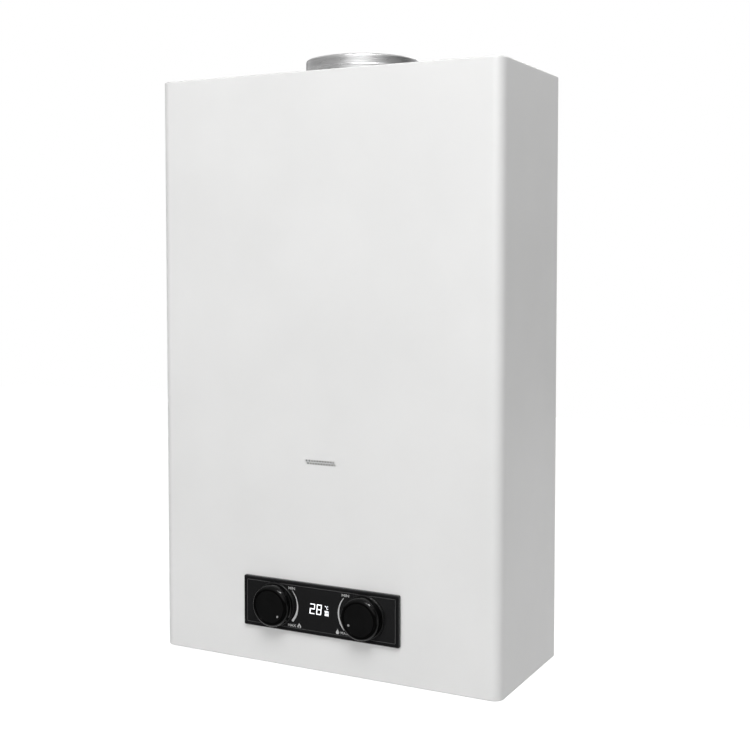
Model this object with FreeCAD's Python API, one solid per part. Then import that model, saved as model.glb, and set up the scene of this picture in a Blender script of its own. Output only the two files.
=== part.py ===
import FreeCAD, Part
import math
import os

# Wall-hung gas water heater with an open flue, in millimetres. X runs to the right seen from the front,
# the front faces -Y, the wall is the plane Y = 0 and Z is up. The origin lies on the wall, midway between
# the two upper wall screws that the heater hangs on.

# Case
case_width = 350.0
case_height = 545.0
case_depth = 140.0
case_top = 45.0
cover_sheet = 0.8
cover_corner_radius = 10.0
cover_edge_radius = 1.5
cover_wall_gap = 1.5
cover_rim_gap = 0.5
cover_collar_gap = 2.5
cover_bottom_opening_width = 324.0
cover_bottom_strip = 36.0
cover_opening_corner = 8.0

# Sight slot in the front, two staggered rows of small holes
sight_height = 192.0
sight_columns = 11
sight_pitch = 2.8
sight_row_spacing = 2.4
sight_hole_width = 1.5

# Back plate and its wall fixings
plate_sheet = 0.8
plate_rim_depth = 14.0
plate_top_drop = 10.0
plate_bottom_rise = 3.0
hook_spacing = 200.0
hook_slot_radius = 2.75
hook_head_radius = 5.5
hook_drop = 9.0
wall_screw_spacing = 240.0
wall_screw_rise = 42.0
wall_screw_radius = 3.0
plate_tab_width = 34.0
plate_tab_inset = 14.0
plate_rib_radius = 4.0
plate_rib_spacing = 92.0
plate_rib_margin = 70.0

# General clearances
seat_gap = 0.2
sheet_gap = 0.3
shaft_gap = 0.05
hole_gap = 0.2

# How far a cutting tool passes the surface that it opens, and how near two places count as one
overshoot = 1.0
same_place = 0.001

# Bottom bracket that carries the pipe connections
bracket_sheet = 1.5
bracket_width = 332.0
bracket_corner = 1.0
bracket_front_overlap = 12.0
bracket_flange_height = 24.0
bracket_flange_inset = 30.0

# Pipe connections
connection_depth = 70.0
thread_radius = 10.48
thread_length = 12.0
thread_neck_radius = 10.2
fitting_bore_radius = 7.0
lock_nut_height = 6.0
lock_nut_width = 27.0
fitting_width = 25.0
hot_fitting_rise = 24.0
hot_outlet_side_gap = 25.0
cold_inlet_x = 62.0

# Flue
collar_radius = 54.0
collar_wall_distance = 57.0
collar_rise = 18.0
collar_sheet = 1.0
collar_neck_step = 1.0
collar_roll = 3.0
hood_sheet = 0.8
hood_height = 100.0
hood_top_drop = 5.0
hood_bottom_width = 216.0
hood_top_width = 140.0
hood_rear_gap = 1.2
hood_depth = 119.2
hood_flue_lip = 3.0
relief_width = 80.0
relief_height = 34.0
relief_rise = 12.0
baffle_width = 120.0
baffle_rise = 18.0
baffle_height = 16.0
baffle_sheet = 0.8

# Heat exchanger
chamber_width = 200.0
chamber_height = 190.0
chamber_rear = 14.0
chamber_depth = 104.0
chamber_sheet = 1.0
chamber_corner = 12.0
chamber_flange = 4.0
fin_block_height = 50.0
fin_block_drop = 8.0
fin_count = 21
fin_thickness = 1.0
fin_core_height = 20.0
tube_radius = 7.0
tube_wall = 1.2
tube_count = 5
tube_pitch = 19.0
tube_end_length = 15.0
cap_depth = 11.0
cap_height = 20.0
cap_corner = 8.0

# Water pipes
feed_pipe_radius = 6.0
feed_straight = 22.0
feed_slant_height = 75.0
feed_bend = 18.0
hot_pipe_radius = 7.0
hot_straight = 30.0
hot_slant_height = 200.0
hot_bend = 20.0
union_width = 22.0
union_length = 9.0

# Burner
bar_count = 9
bar_pitch = 20.5
bar_width = 13.0
bar_height = 25.0
bar_top_drop = 18.0
bar_mouth_width = 7.0
bar_mouth_depth = 12.0
bar_roof_share = 3.0
bar_sheet = 1.2
burner_frame_height = 50.0
burner_frame_sheet = 1.0
burner_window_height = 15.0
manifold_size = 15.0
manifold_foot = 3.0
manifold_gap = 4.0
injector_width = 5.5
injector_length = 3.6
gas_riser_radius = 6.5
gas_riser_bend = 15.0

# Electrodes
ceramic_radius = 4.0
ceramic_length = 16.0
ceramic_inset = 4.0
electrode_radius = 1.2
electrode_reach = 30.0
electrode_plate_size = 18.0
electrode_plate_sheet = 1.0
igniter_depth = 66.0
sensor_depth = 36.0

# Controls on the front panel
panel_width = 162.0
panel_height = 47.0
panel_centre_rise = 57.5
panel_proud = 3.5
panel_bevel = 1.2
panel_corner = 1.6
panel_rim = 3.0
panel_face_thickness = 1.2
panel_face_inset = 0.3
panel_skirt_inset = 4.0
panel_skirt_wall = 1.6
panel_skirt_depth = 9.0
panel_base = 2.0
panel_hook_width = 10.0
panel_hook_depth = 1.2
panel_hook_height = 3.0
panel_hook_root = 0.5
knob_spacing = 92.6
knob_base_radius = 21.0
knob_base_height = 0.8
knob_foot_height = 2.0
knob_side_radius = 19.8
knob_side_taper = 0.6
knob_shoulder_bend = 3.8
knob_height = 11.0
knob_face_radius = 14.9
knob_face_recess = 0.6
knob_panel_gap = 0.4
knob_bore_depth = 7.6
dot_radius = 1.1
dot_distance = 11.8
dot_depth = 0.3
gas_rest_angle = 45.0
water_rest_angle = 60.0
spindle_radius = 4.0
spindle_flat = 1.0
spindle_depth_in_valve = 30.0
spindle_hole_gap = 1.0
display_width = 26.0
display_height = 18.0
display_depth = 6.0
board_width = 60.0
board_height = 32.0
board_thickness = 1.6
board_socket_width = 10.0
board_socket_height = 8.0
board_socket_depth = 4.0
board_socket_inset = 8.0

# Gas valve
valve_half_width = 18.0
valve_body_front = 98.0
valve_body_rear = 52.0
valve_corner = 6.0
valve_boss_width = 24.0
valve_flange_half = 14.0
valve_flange_thickness = 4.0
valve_top_rise = 42.0
valve_bottom_drop = 38.0
gas_side_width = 28.0
gas_side_reach = 22.3
solenoid_radius = 13.0
solenoid_length = 30.0
solenoid_boss_reach = 24.0
solenoid_yoke = 3.0
solenoid_yoke_margin = 2.0
solenoid_cap_length = 5.0
solenoid_cap_width = 14.0

# Water valve
diaphragm_half = 20.0
diaphragm_thickness = 1.6
diaphragm_corner = 6.0
housing_half = 29.0
housing_corner = 8.0
housing_flange = 5.0
dome_half = 20.0
dome_length = 11.0
dome_wall = 3.0
diaphragm_chamber_radius = 15.5
diaphragm_chamber_depth = 4.0
housing_screw_offset = 24.0
screw_radius = 2.0
screw_head_width = 7.0
screw_head_height = 2.4
neck_length = 10.0
neck_leg_width = 7.0
neck_leg_offset = 11.0
rod_radius = 3.0
rod_bore_depth = 14.0
rod_plate_radius = 13.0
rod_plate_thickness = 1.6
rod_travel = 3.0
rod_nut_width = 10.0
rod_nut_length = 1.6
rod_nut_gap = 1.2
rod_end_gap = 2.0
spring_radius = 7.0
spring_wall = 1.2
drain_boss_width = 18.0
drain_boss_reach = 14.0
drain_plug_width = 13.0
drain_plug_length = 6.0
filter_radius = 6.4
filter_length = 18.0

# Microswitch
switch_length = 13.5
switch_width = 9.0
switch_height = 13.0
switch_pin_radius = 1.2
lever_thickness = 0.8
lever_width = 9.5
lever_overlap = 4.5
lever_pin_height = 18.5
lever_fork_gap = 0.6
switch_ear_gap = 1.5
switch_ear_thickness = 1.5
switch_ear_half = 2.0
switch_foot_sink = 1.0

# Battery compartment for two D cells
cell_radius = 16.9
cell_height = 60.0
cell_nub_radius = 4.7
cell_nub_height = 1.5
cell_pitch = 35.4
battery_centre_x = 124.0
battery_centre_depth = 76.0
battery_wall = 1.5
battery_play = 0.6
battery_corner = 4.0
battery_rim_width = 2.0
battery_rim_thickness = 2.0
battery_rim_rear = 4.0
lid_thickness = 2.4
lid_hinge_offset = 2.2
lid_hinge_radius = 1.35
lid_pin_radius = 0.8
lid_ear_width = 4.0
lid_tongue_width = 12.0
lid_tongue_height = 4.0
lid_tongue_thickness = 1.2
lid_corner = 1.0
lid_below_box = 0.3
contact_sheet = 0.5
contact_spring_height = 1.6
contact_spring_half = 4.5
contact_width = 12.0
contact_peak_half = 1.0

# Control box
control_width = 110.0
control_height = 76.0
control_depth = 31.0
control_centre_x = -20.0
control_rise = 110.0
control_edge = 3.0
control_lid_thickness = 3.0
control_lid_step = 1.0
control_lid_margin = 8.0
control_socket_height = 22.0
control_socket_rise = 8.0
control_socket_reach = 4.0
control_socket_back = 8.0
control_socket_depth = 16.0
lead_rise = 4.0
lead_pitch = 8.0

# Leads
lead_width = 2.8
lead_bend = 10.0
ribbon_width = 8.0
flat_lead_width = 4.0
flat_lead_thickness = 2.0
battery_lead_inset = 3.0
valve_lead_width = 3.0
valve_lead_shift = 2.0

# Sensors on the chamber, the hood and the outlet
thermostat_radius = 8.5
thermostat_height = 5.0
thermostat_tab_width = 5.0
thermostat_tab_length = 7.0
thermostat_tab_sheet = 0.8
chamber_thermostat_x = -40.0
chamber_thermostat_drop = 90.0
hood_sensor_x = 46.0
hood_sensor_rise = 30.0
outlet_sensor_width = 8.0
outlet_sensor_radius = 2.4
outlet_sensor_length = 14.0
outlet_sensor_nut = 5.0

# Chamber brackets and screws
bracket_strap_width = 30.0
bracket_strap_spacing = 130.0
bracket_strap_sheet = 1.5
bracket_strap_drop = 160.0
bracket_strap_foot = 18.0
cover_screw_spacing = 200.0
cover_screw_depth = 112.0
cover_screw_length = 9.0
bracket_screw_spacing = 110.0
bracket_screw_count = 3

# Places worked out from the sizes above
case_bottom = case_top - case_height
case_front = -case_depth
cover_inside = case_width / 2 - cover_sheet
plate_half = cover_inside - cover_rim_gap
plate_top = case_top - plate_top_drop
plate_bottom = case_bottom + plate_bottom_rise
control_axis = case_bottom + panel_centre_rise
bracket_bottom = case_bottom + cover_sheet + seat_gap
bracket_top = bracket_bottom + bracket_sheet
hood_top = case_top - hood_top_drop
hood_bottom = hood_top - hood_height
hood_rear = -plate_sheet - hood_rear_gap
hood_front = hood_rear - hood_depth
chamber_top = hood_bottom - seat_gap
chamber_bottom = chamber_top - chamber_height
chamber_front = -chamber_rear - chamber_depth
chamber_middle = -chamber_rear - chamber_depth / 2
fin_top = chamber_top - fin_block_drop
tube_level = fin_top - fin_block_height / 2
burner_top = chamber_bottom - seat_gap
burner_bottom = burner_top - burner_frame_height
burner_rear = -chamber_rear - chamber_sheet - sheet_gap
burner_front = chamber_front + chamber_sheet + sheet_gap
burner_half = chamber_width / 2 - chamber_sheet - sheet_gap
bar_top = burner_top - bar_top_drop
bar_bottom = bar_top - bar_height
mouth_level = bar_bottom + bar_height / 2
manifold_rear = burner_front - manifold_gap
connection_y = -connection_depth
hot_outlet_x = -(chamber_width / 2 + hot_outlet_side_gap)
lock_nut_bottom = bracket_bottom - seat_gap - lock_nut_height
fitting_end = lock_nut_bottom - seat_gap - thread_length
gas_x = -knob_spacing / 2
water_x = knob_spacing / 2
panel_back = case_front - seat_gap
panel_front = case_front - panel_proud
face_front = panel_front + panel_face_inset
face_back = face_front + panel_face_thickness
knob_back = face_front - knob_panel_gap
valve_top = control_axis + valve_top_rise
valve_bottom = control_axis - valve_bottom_drop
neck_left = gas_x + gas_side_reach
neck_right = neck_left + neck_length
cover_flange_left = neck_right + dome_length
diaphragm_left = cover_flange_left + housing_flange
diaphragm_right = diaphragm_left + diaphragm_thickness
control_bottom = case_bottom + control_rise
control_top = control_bottom + control_height
control_back = -plate_sheet - seat_gap
control_front = control_back - control_depth

X_AXIS = FreeCAD.Vector(1, 0, 0)
Y_AXIS = FreeCAD.Vector(0, 1, 0)
Z_AXIS = FreeCAD.Vector(0, 0, 1)


def vec(x, y, z):
    """A point or direction."""
    return FreeCAD.Vector(x, y, z)


def block(x0, x1, y0, y1, z0, z1):
    """A box between two corners, given in any order."""
    low = vec(min(x0, x1), min(y0, y1), min(z0, z1))
    return Part.makeBox(abs(x1 - x0), abs(y1 - y0), abs(z1 - z0), low)


def rod(radius, start, end):
    """A round bar between two points."""
    return Part.makeCylinder(radius, start.distanceToPoint(end), start, end - start)


def polygon_prism(points, sweep):
    """Extrude a closed outline of points along a vector."""
    wire = Part.makePolygon(points + [points[0]])
    return Part.Face(wire).extrude(sweep)


def rounded_outline(corners):
    """A closed wire through corners, each (point, radius), with its bends as arcs."""
    count = len(corners)
    ends = []
    edges = []
    for i in range(count):
        point, radius = corners[i]
        before = (corners[i - 1][0] - point).normalize()
        after = (corners[(i + 1) % count][0] - point).normalize()
        half_turn = before.getAngle(after) / 2
        reach = radius / math.tan(half_turn)
        start = point + before * reach
        end = point + after * reach
        if radius > 0:
            middle = point + (before + after).normalize() * (radius / math.sin(half_turn) - radius)
            edges.append((i, Part.Arc(start, middle, end).toShape()))
        ends.append((start, end))
    ordered = []
    for i in range(count):
        ordered += [edge for number, edge in edges if number == i]
        start = ends[i][1]
        end = ends[(i + 1) % count][0]
        if start.distanceToPoint(end) > same_place:
            ordered.append(Part.LineSegment(start, end).toShape())
    return Part.Wire(ordered)


def rounded_prism(corners, sweep):
    """Extrude a closed outline with rounded corners along a vector."""
    return Part.Face(rounded_outline(corners)).extrude(sweep)


def upright_box(x0, x1, y0, y1, z0, z1, radius):
    """A box with its four vertical edges rounded."""
    corners = [(vec(x0, y0, z0), radius), (vec(x1, y0, z0), radius), (vec(x1, y1, z0), radius)]
    corners.append((vec(x0, y1, z0), radius))
    return rounded_prism(corners, Z_AXIS * (z1 - z0))


def front_box(x0, x1, z0, z1, y0, y1, radius):
    """A box with its four edges that run along Y rounded."""
    corners = [(vec(x0, y0, z0), radius), (vec(x1, y0, z0), radius), (vec(x1, y0, z1), radius)]
    corners.append((vec(x0, y0, z1), radius))
    return rounded_prism(corners, Y_AXIS * (y1 - y0))


def turned(profile, centre, axis, side):
    """Turn a closed profile of (radius, distance along the axis) pairs about an axis."""
    points = [centre + side * radius + axis * along for radius, along in profile]
    face = Part.Face(Part.makePolygon(points + [points[0]]))
    return face.revolve(centre, axis, 360)


def piped(route, radius, bend):
    """A round pipe or wire along a route."""
    circle = Part.Wire(Part.makeCircle(radius, route[0], route[1] - route[0]))
    return path_of(route, bend).makePipeShell([circle], True, False)


def flat_lead(route, across, width, thickness, bend):
    """A flat lead along a route in one plane, its width along the vector across."""
    along = (route[1] - route[0]).normalize()
    side = across * (width / 2)
    rise = along.cross(across).normalize() * (thickness / 2)
    start = route[0]
    points = [start + side + rise, start + side - rise, start - side - rise, start - side + rise]
    section = Part.makePolygon(points + [points[0]])
    return path_of(route, bend).makePipeShell([section], True, False)


def side_box(x0, x1, y0, y1, z0, z1, radius):
    """A box with its four edges that run along X rounded."""
    corners = [(vec(x0, y0, z0), radius), (vec(x0, y1, z0), radius), (vec(x0, y1, z1), radius)]
    corners.append((vec(x0, y0, z1), radius))
    return rounded_prism(corners, X_AXIS * (x1 - x0))


def path_of(route, bend):
    """A wire of straight runs joined by arcs."""
    edges = []
    start = route[0]
    for i in range(1, len(route) - 1):
        corner = route[i]
        before = (route[i - 1] - corner).normalize()
        after = (route[i + 1] - corner).normalize()
        half_turn = before.getAngle(after) / 2
        reach = bend / math.tan(half_turn)
        arc_start = corner + before * reach
        arc_end = corner + after * reach
        middle = corner + (before + after).normalize() * (bend / math.sin(half_turn) - bend)
        edges.append(Part.LineSegment(start, arc_start).toShape())
        edges.append(Part.Arc(arc_start, middle, arc_end).toShape())
        start = arc_end
    edges.append(Part.LineSegment(start, route[-1]).toShape())
    return Part.Wire(edges)


def hexagon(width, start, end):
    """A hexagonal bar of a given width across its flats between two points."""
    axis = (end - start).normalize()
    side = axis.cross(X_AXIS if abs(axis.x) < 0.5 else Y_AXIS).normalize()
    other = axis.cross(side)
    corner = width / math.sqrt(3)
    points = []
    for i in range(6):
        angle = math.radians(60 * i)
        points.append(start + side * (corner * math.cos(angle)) + other * (corner * math.sin(angle)))
    return polygon_prism(points, end - start)


def machine_screw(head_seat, direction, shank_length):
    """A hexagon-head screw whose head stands on head_seat and whose shank runs along direction."""
    head = hexagon(screw_head_width, head_seat - direction * screw_head_height, head_seat)
    shank = rod(screw_radius, head_seat, head_seat + direction * shank_length)
    return head.fuse(shank)


def keep(node, shape):
    """Write one sub-part to its own file."""
    shape.exportStep("parts/" + node + ".step")


def hang_points():
    """Middles of the two keyholes along X."""
    return [-hook_spacing / 2, hook_spacing / 2]


def bracket_screw_places():
    """Where the bottom bracket's flange is screwed to the back plate."""
    level = bracket_top + bracket_flange_height / 2
    first = -bracket_screw_spacing * (bracket_screw_count - 1) / 2
    return [(first + bracket_screw_spacing * i, level) for i in range(bracket_screw_count)]


def front_cover():
    """The drawn sheet cover: front, sides, top and bottom, open towards the wall."""
    half = case_width / 2
    rear = -cover_wall_gap
    cover = cover_block(half, case_front, rear, case_bottom, case_top, cover_corner_radius)
    level_edges = []
    for line in cover.Edges:
        box = line.BoundBox
        if box.ZLength < same_place and box.YMin < rear - same_place:
            level_edges.append(line)
    cover = cover.makeFillet(cover_edge_radius, level_edges)
    inside_bottom = case_bottom + cover_sheet
    inside_top = case_top - cover_sheet
    inside_corner = cover_corner_radius - cover_sheet
    cover = cover.cut(cover_block(cover_inside, case_front + cover_sheet, overshoot, inside_bottom,
                                  inside_top, inside_corner))
    notch_radius = collar_radius + cover_collar_gap
    centre = vec(0, -collar_wall_distance, inside_top - overshoot)
    notch = rod(notch_radius, centre, centre + Z_AXIS * (cover_sheet + 2 * overshoot))
    slot = block(-notch_radius, notch_radius, -collar_wall_distance, overshoot, inside_top - overshoot,
                 case_top + overshoot)
    cover = cover.cut(notch.fuse(slot))
    opening_half = cover_bottom_opening_width / 2
    opening_front = case_front + cover_bottom_strip
    low = case_bottom - overshoot
    corners = [(vec(-opening_half, opening_front, low), cover_opening_corner)]
    corners.append((vec(opening_half, opening_front, low), cover_opening_corner))
    corners.append((vec(opening_half, overshoot, low), 0))
    corners.append((vec(-opening_half, overshoot, low), 0))
    cover = cover.cut(rounded_prism(corners, Z_AXIS * (cover_sheet + 2 * overshoot)))
    cover = cover.cut(panel_cutout())
    cover = cover.cut(sight_holes())
    for x in cover_screw_places():
        hole = vec(x, -cover_screw_depth, low)
        cover = cover.cut(rod(screw_radius + hole_gap, hole, hole + Z_AXIS * (cover_sheet + 2 * overshoot)))
    return cover


def cover_screw_places():
    """Where the cover's bottom strip is screwed to the bracket."""
    return [-cover_screw_spacing / 2, cover_screw_spacing / 2]


def cover_block(half, front, rear, bottom, top, corner):
    """A block with its two front upright edges rounded."""
    corners = [(vec(-half, front, bottom), corner), (vec(half, front, bottom), corner)]
    corners.append((vec(half, rear, bottom), 0))
    corners.append((vec(-half, rear, bottom), 0))
    return rounded_prism(corners, Z_AXIS * (top - bottom))


def panel_cutout():
    """The opening in the cover's front that the control panel's skirt fits."""
    half = panel_width / 2 - panel_skirt_inset + sheet_gap
    tall = panel_height / 2 - panel_skirt_inset + sheet_gap
    return block(-half, half, case_front - overshoot, case_front + cover_sheet + overshoot,
                 control_axis - tall, control_axis + tall)


def sight_holes():
    """Two staggered rows of small holes, as one compound."""
    holes = []
    middle = case_bottom + sight_height
    for row in (-1, 1):
        shift = row * sight_pitch / 4
        level = middle + row * sight_row_spacing / 2
        for column in range(sight_columns):
            x = (column - (sight_columns - 1) / 2) * sight_pitch + shift
            start = vec(x, case_front - overshoot, level)
            holes.append(hexagon(sight_hole_width, start, start + Y_AXIS * (cover_sheet + 2 * overshoot)))
    return Part.makeCompound(holes)


def back_plate():
    """The chassis sheet on the wall, with side rims, keyholes and pressed ribs."""
    front = -plate_rim_depth
    outline = [vec(-plate_half, 0, 0), vec(-plate_half, front, 0)]
    outline += [vec(-plate_half + plate_sheet, front, 0), vec(-plate_half + plate_sheet, -plate_sheet, 0)]
    outline += [vec(plate_half - plate_sheet, -plate_sheet, 0), vec(plate_half - plate_sheet, front, 0)]
    outline += [vec(plate_half, front, 0), vec(plate_half, 0, 0)]
    outline = [point + Z_AXIS * plate_bottom for point in outline]
    plate = polygon_prism(outline, Z_AXIS * (plate_top - plate_bottom))
    tab_outer = plate_half - plate_tab_inset
    for side in (-1, 1):
        inner = side * (tab_outer - plate_tab_width)
        plate = plate.fuse(block(inner, side * tab_outer, -plate_rim_depth, 0, plate_top - plate_sheet,
                                 plate_top))
        rib, hollow = plate_rib(side * plate_rib_spacing / 2)
        plate = plate.fuse(rib).cut(hollow)
    for x in hang_points():
        head = plate_hole(hook_head_radius, x, -hook_drop)
        neck = plate_hole(hook_slot_radius, x, 0)
        slot = block(x - hook_slot_radius, x + hook_slot_radius, -plate_sheet - overshoot, overshoot,
                     -hook_drop, 0)
        plate = plate.cut(head.fuse([neck, slot]))
    for x in (-wall_screw_spacing / 2, wall_screw_spacing / 2):
        plate = plate.cut(plate_hole(wall_screw_radius, x, case_bottom + wall_screw_rise))
    for x, level in bracket_screw_places():
        plate = plate.cut(plate_hole(screw_radius + hole_gap, x, level))
    return plate.removeSplitter()


def plate_hole(radius, x, level):
    """A round cut through the back plate."""
    return rod(radius, vec(x, overshoot, level), vec(x, -plate_sheet - overshoot, level))


def plate_rib(x):
    """A pressed stiffening rib below the hood, and the hollow that it leaves open to the wall."""
    low = vec(x, 0, control_top + plate_rib_margin / 4)
    high = vec(x, 0, chamber_bottom - plate_rib_margin / 4)
    half = block(x - plate_rib_radius, x + plate_rib_radius, -plate_rib_radius, 0, low.z, high.z)
    hollow = rod(plate_rib_radius - plate_sheet, low + Z_AXIS * plate_sheet, high - Z_AXIS * plate_sheet)
    return rod(plate_rib_radius, low, high).common(half), hollow


def bottom_bracket():
    """The shelf at the bottom that the three connections and the battery box pass through."""
    half = bracket_width / 2
    rear = -plate_sheet - seat_gap
    front = case_front + cover_bottom_strip - bracket_front_overlap
    shelf = upright_box(-half, half, front, rear, bracket_bottom, bracket_top, bracket_corner)
    flange_half = half - bracket_flange_inset
    flange = block(-flange_half, flange_half, rear - bracket_sheet, rear, bracket_bottom,
                   bracket_top + bracket_flange_height)
    bracket = shelf.fuse(flange)
    for x in (hot_outlet_x, gas_x, cold_inlet_x):
        bracket = bracket.cut(bracket_hole(thread_neck_radius + hole_gap, x, connection_y))
    left, right, bay_front, bay_rear = battery_bay()
    hinge_room = lid_hinge_offset + lid_hinge_radius + battery_play
    bracket = bracket.cut(block(left - battery_play, right + battery_play, bay_front - battery_play,
                                bay_rear + hinge_room, bracket_bottom - overshoot, bracket_top + overshoot))
    for x in cover_screw_places():
        bracket = bracket.cut(bracket_hole(screw_radius + shaft_gap, x, -cover_screw_depth))
    for x, level in bracket_screw_places():
        hole = vec(x, rear + overshoot, level)
        reach = bracket_sheet + 2 * overshoot
        bracket = bracket.cut(rod(screw_radius + hole_gap, hole, hole - Y_AXIS * reach))
    return bracket.removeSplitter()


def bracket_hole(radius, x, y):
    """A round cut down through the bottom bracket."""
    return rod(radius, vec(x, y, bracket_bottom - overshoot), vec(x, y, bracket_top + overshoot))


def battery_bay():
    """Outer sides of the battery box: left, right, front and rear."""
    half_x = cell_pitch / 2 + cell_radius + battery_play + battery_wall
    half_y = cell_radius + battery_play + battery_wall
    middle = -battery_centre_depth
    return (battery_centre_x - half_x, battery_centre_x + half_x, middle - half_y, middle + half_y)


def hood_walls(inset, extra):
    """The draught hood's tapered body, drawn in by inset and lengthened downwards by extra."""
    low = hood_bottom - extra
    high = hood_top - inset
    slope = (hood_bottom_width - hood_top_width) / 2 / hood_height
    low_half = hood_bottom_width / 2 - inset + slope * extra
    high_half = hood_top_width / 2 - inset + slope * inset
    front = hood_front + inset
    rear = hood_rear - inset
    outline = [vec(-low_half, front, low), vec(low_half, front, low)]
    outline += [vec(high_half, front, high), vec(-high_half, front, high)]
    return polygon_prism(outline, Y_AXIS * (rear - front))


def flue_hood():
    """The draught hood over the heat exchanger, with relief openings in its two sides."""
    hood = hood_walls(0, 0).cut(hood_walls(hood_sheet, overshoot))
    centre = vec(0, -collar_wall_distance, hood_top - hood_sheet - overshoot)
    way = rod(collar_radius - hood_flue_lip, centre, centre + Z_AXIS * (hood_sheet + 2 * overshoot))
    hood = hood.cut(way)
    low = hood_bottom + relief_rise
    middle = (hood_front + hood_rear) / 2
    relief = block(-hood_bottom_width, hood_bottom_width, middle - relief_width / 2,
                   middle + relief_width / 2, low, low + relief_height)
    return hood.cut(relief)


def hood_baffle():
    """The bent deflector inside the hood that keeps a down draught off the burner."""
    half = baffle_width / 2
    low = hood_bottom + relief_rise + baffle_rise
    rear = hood_rear - hood_sheet - sheet_gap
    front = hood_front + hood_sheet + sheet_gap
    outline = [vec(-half, rear, low), vec(0, rear, low + baffle_height), vec(half, rear, low)]
    outline += [vec(half, rear, low + baffle_sheet), vec(0, rear, low + baffle_height + baffle_sheet)]
    outline += [vec(-half, rear, low + baffle_sheet)]
    return polygon_prism(outline, Y_AXIS * (front - rear))


def flue_collar():
    """The steel flue spigot, seated on the hood, with a neck in the case and its top edge rolled in."""
    foot = hood_top + seat_gap
    step = case_top + seat_gap
    top = case_top + collar_rise
    inner = collar_radius - collar_sheet
    neck = collar_radius - collar_neck_step
    roll = top - collar_roll
    lip = collar_radius - collar_roll / 2
    profile = [(neck, foot), (neck, step), (collar_radius, step), (collar_radius, roll), (lip, top)]
    profile += [(inner - collar_roll / 2, top), (inner, roll), (inner, step + collar_sheet)]
    profile += [(neck - collar_sheet, step + collar_sheet), (neck - collar_sheet, foot)]
    return turned(profile, vec(0, -collar_wall_distance, 0), Z_AXIS, X_AXIS)


def tube_places():
    """Depth of each exchanger tube, the first one at the front."""
    first = chamber_middle - tube_pitch * (tube_count - 1) / 2
    return [first + tube_pitch * i for i in range(tube_count)]


def combustion_chamber():
    """The copper shell round the flames and the fins, with a flange under the hood."""
    half = chamber_width / 2
    outer = upright_box(-half, half, chamber_front, -chamber_rear, chamber_bottom, chamber_top,
                        chamber_corner)
    flange_half = half + chamber_flange
    flange = block(-flange_half, flange_half, chamber_front - chamber_flange + hood_sheet, hood_rear,
                   chamber_top - chamber_sheet, chamber_top)
    inner_half = half - chamber_sheet
    inner = upright_box(-inner_half, inner_half, chamber_front + chamber_sheet,
                        -chamber_rear - chamber_sheet, chamber_bottom - overshoot,
                        chamber_top + overshoot, chamber_corner - chamber_sheet)
    shell = outer.fuse(flange).cut(inner)
    for y in tube_places():
        start = vec(-chamber_width, y, tube_level)
        shell = shell.cut(rod(tube_radius + hole_gap, start, start + X_AXIS * 2 * chamber_width))
    return shell.removeSplitter()


def exchanger_fins():
    """The fin pack: thin fins above and below the core that holds the five tubes."""
    half = chamber_width / 2 - chamber_sheet - sheet_gap
    front = chamber_front + chamber_sheet + sheet_gap
    rear = -chamber_rear - chamber_sheet - sheet_gap
    low = fin_top - fin_block_height
    corner = chamber_corner - chamber_sheet
    pack = upright_box(-half, half, front, rear, low, fin_top, corner)
    pitch = (2 * half - 2 * corner - fin_thickness) / (fin_count - 1)
    core_low = tube_level - fin_core_height / 2
    core_high = tube_level + fin_core_height / 2
    gaps = []
    for i in range(fin_count - 1):
        left = -half + corner + fin_thickness + pitch * i
        right = left + pitch - fin_thickness
        gaps.append(block(left, right, front - overshoot, rear + overshoot, low - overshoot, core_low))
        gaps.append(block(left, right, front - overshoot, rear + overshoot, core_high, fin_top + overshoot))
    pack = pack.cut(Part.makeCompound(gaps))
    bores = []
    for y in tube_places():
        start = vec(-chamber_width, y, tube_level)
        bores.append(rod(tube_radius + shaft_gap, start, start + X_AXIS * 2 * chamber_width))
    return pack.cut(Part.makeCompound(bores))


def exchanger_tubes():
    """The five tubes through the fin pack; the first and the last reach out to the pipes."""
    places = tube_places()
    half = chamber_width / 2
    tubes = []
    for y in places:
        right = half + (tube_end_length if y == places[0] else 0)
        left = half + (tube_end_length if y == places[-1] else 0)
        start = vec(-left, y, tube_level)
        end = vec(right, y, tube_level)
        tubes.append(rod(tube_radius, start, end).cut(rod(tube_radius - tube_wall, start, end)))
    return Part.makeCompound(tubes)


def exchanger_caps():
    """Pressed return caps outside the shell, each of which joins two tubes."""
    places = tube_places()
    caps = []
    side = -1
    for i in range(tube_count - 1):
        seat = side * (chamber_width / 2 + seat_gap)
        end = side * (chamber_width / 2 + cap_depth)
        caps.append(side_box(seat, end, places[i] - cap_corner, places[i + 1] + cap_corner,
                             tube_level - cap_height / 2, tube_level + cap_height / 2, cap_corner))
        side = -side
    return Part.makeCompound(caps)


def feed_pipe():
    """The cold pipe from the water valve, up the right side and into the first tube."""
    first_tube = tube_places()[0]
    tube_end = chamber_width / 2 + tube_end_length + seat_gap
    side = tube_end + feed_bend + seat_gap
    low = valve_top + seat_gap
    bend_level = low + feed_straight
    route = [vec(cold_inlet_x, connection_y, low), vec(cold_inlet_x, connection_y, bend_level)]
    route += [vec(side, first_tube, bend_level + feed_slant_height), vec(side, first_tube, tube_level)]
    route.append(vec(tube_end, first_tube, tube_level))
    return piped(route, feed_pipe_radius, feed_bend * 0.98)


def hot_pipe():
    """The hot pipe from the last tube down the left side to the outlet fitting."""
    last_tube = tube_places()[-1]
    tube_end = -(chamber_width / 2 + tube_end_length + seat_gap)
    side = tube_end - hot_bend - seat_gap
    low = hot_fitting_top() + seat_gap
    bend_level = low + hot_straight
    route = [vec(tube_end, last_tube, tube_level), vec(side, last_tube, tube_level)]
    route.append(vec(side, last_tube, bend_level + hot_slant_height))
    route += [vec(hot_outlet_x, connection_y, bend_level), vec(hot_outlet_x, connection_y, low)]
    return piped(route, hot_pipe_radius, hot_bend * 0.98)


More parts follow.
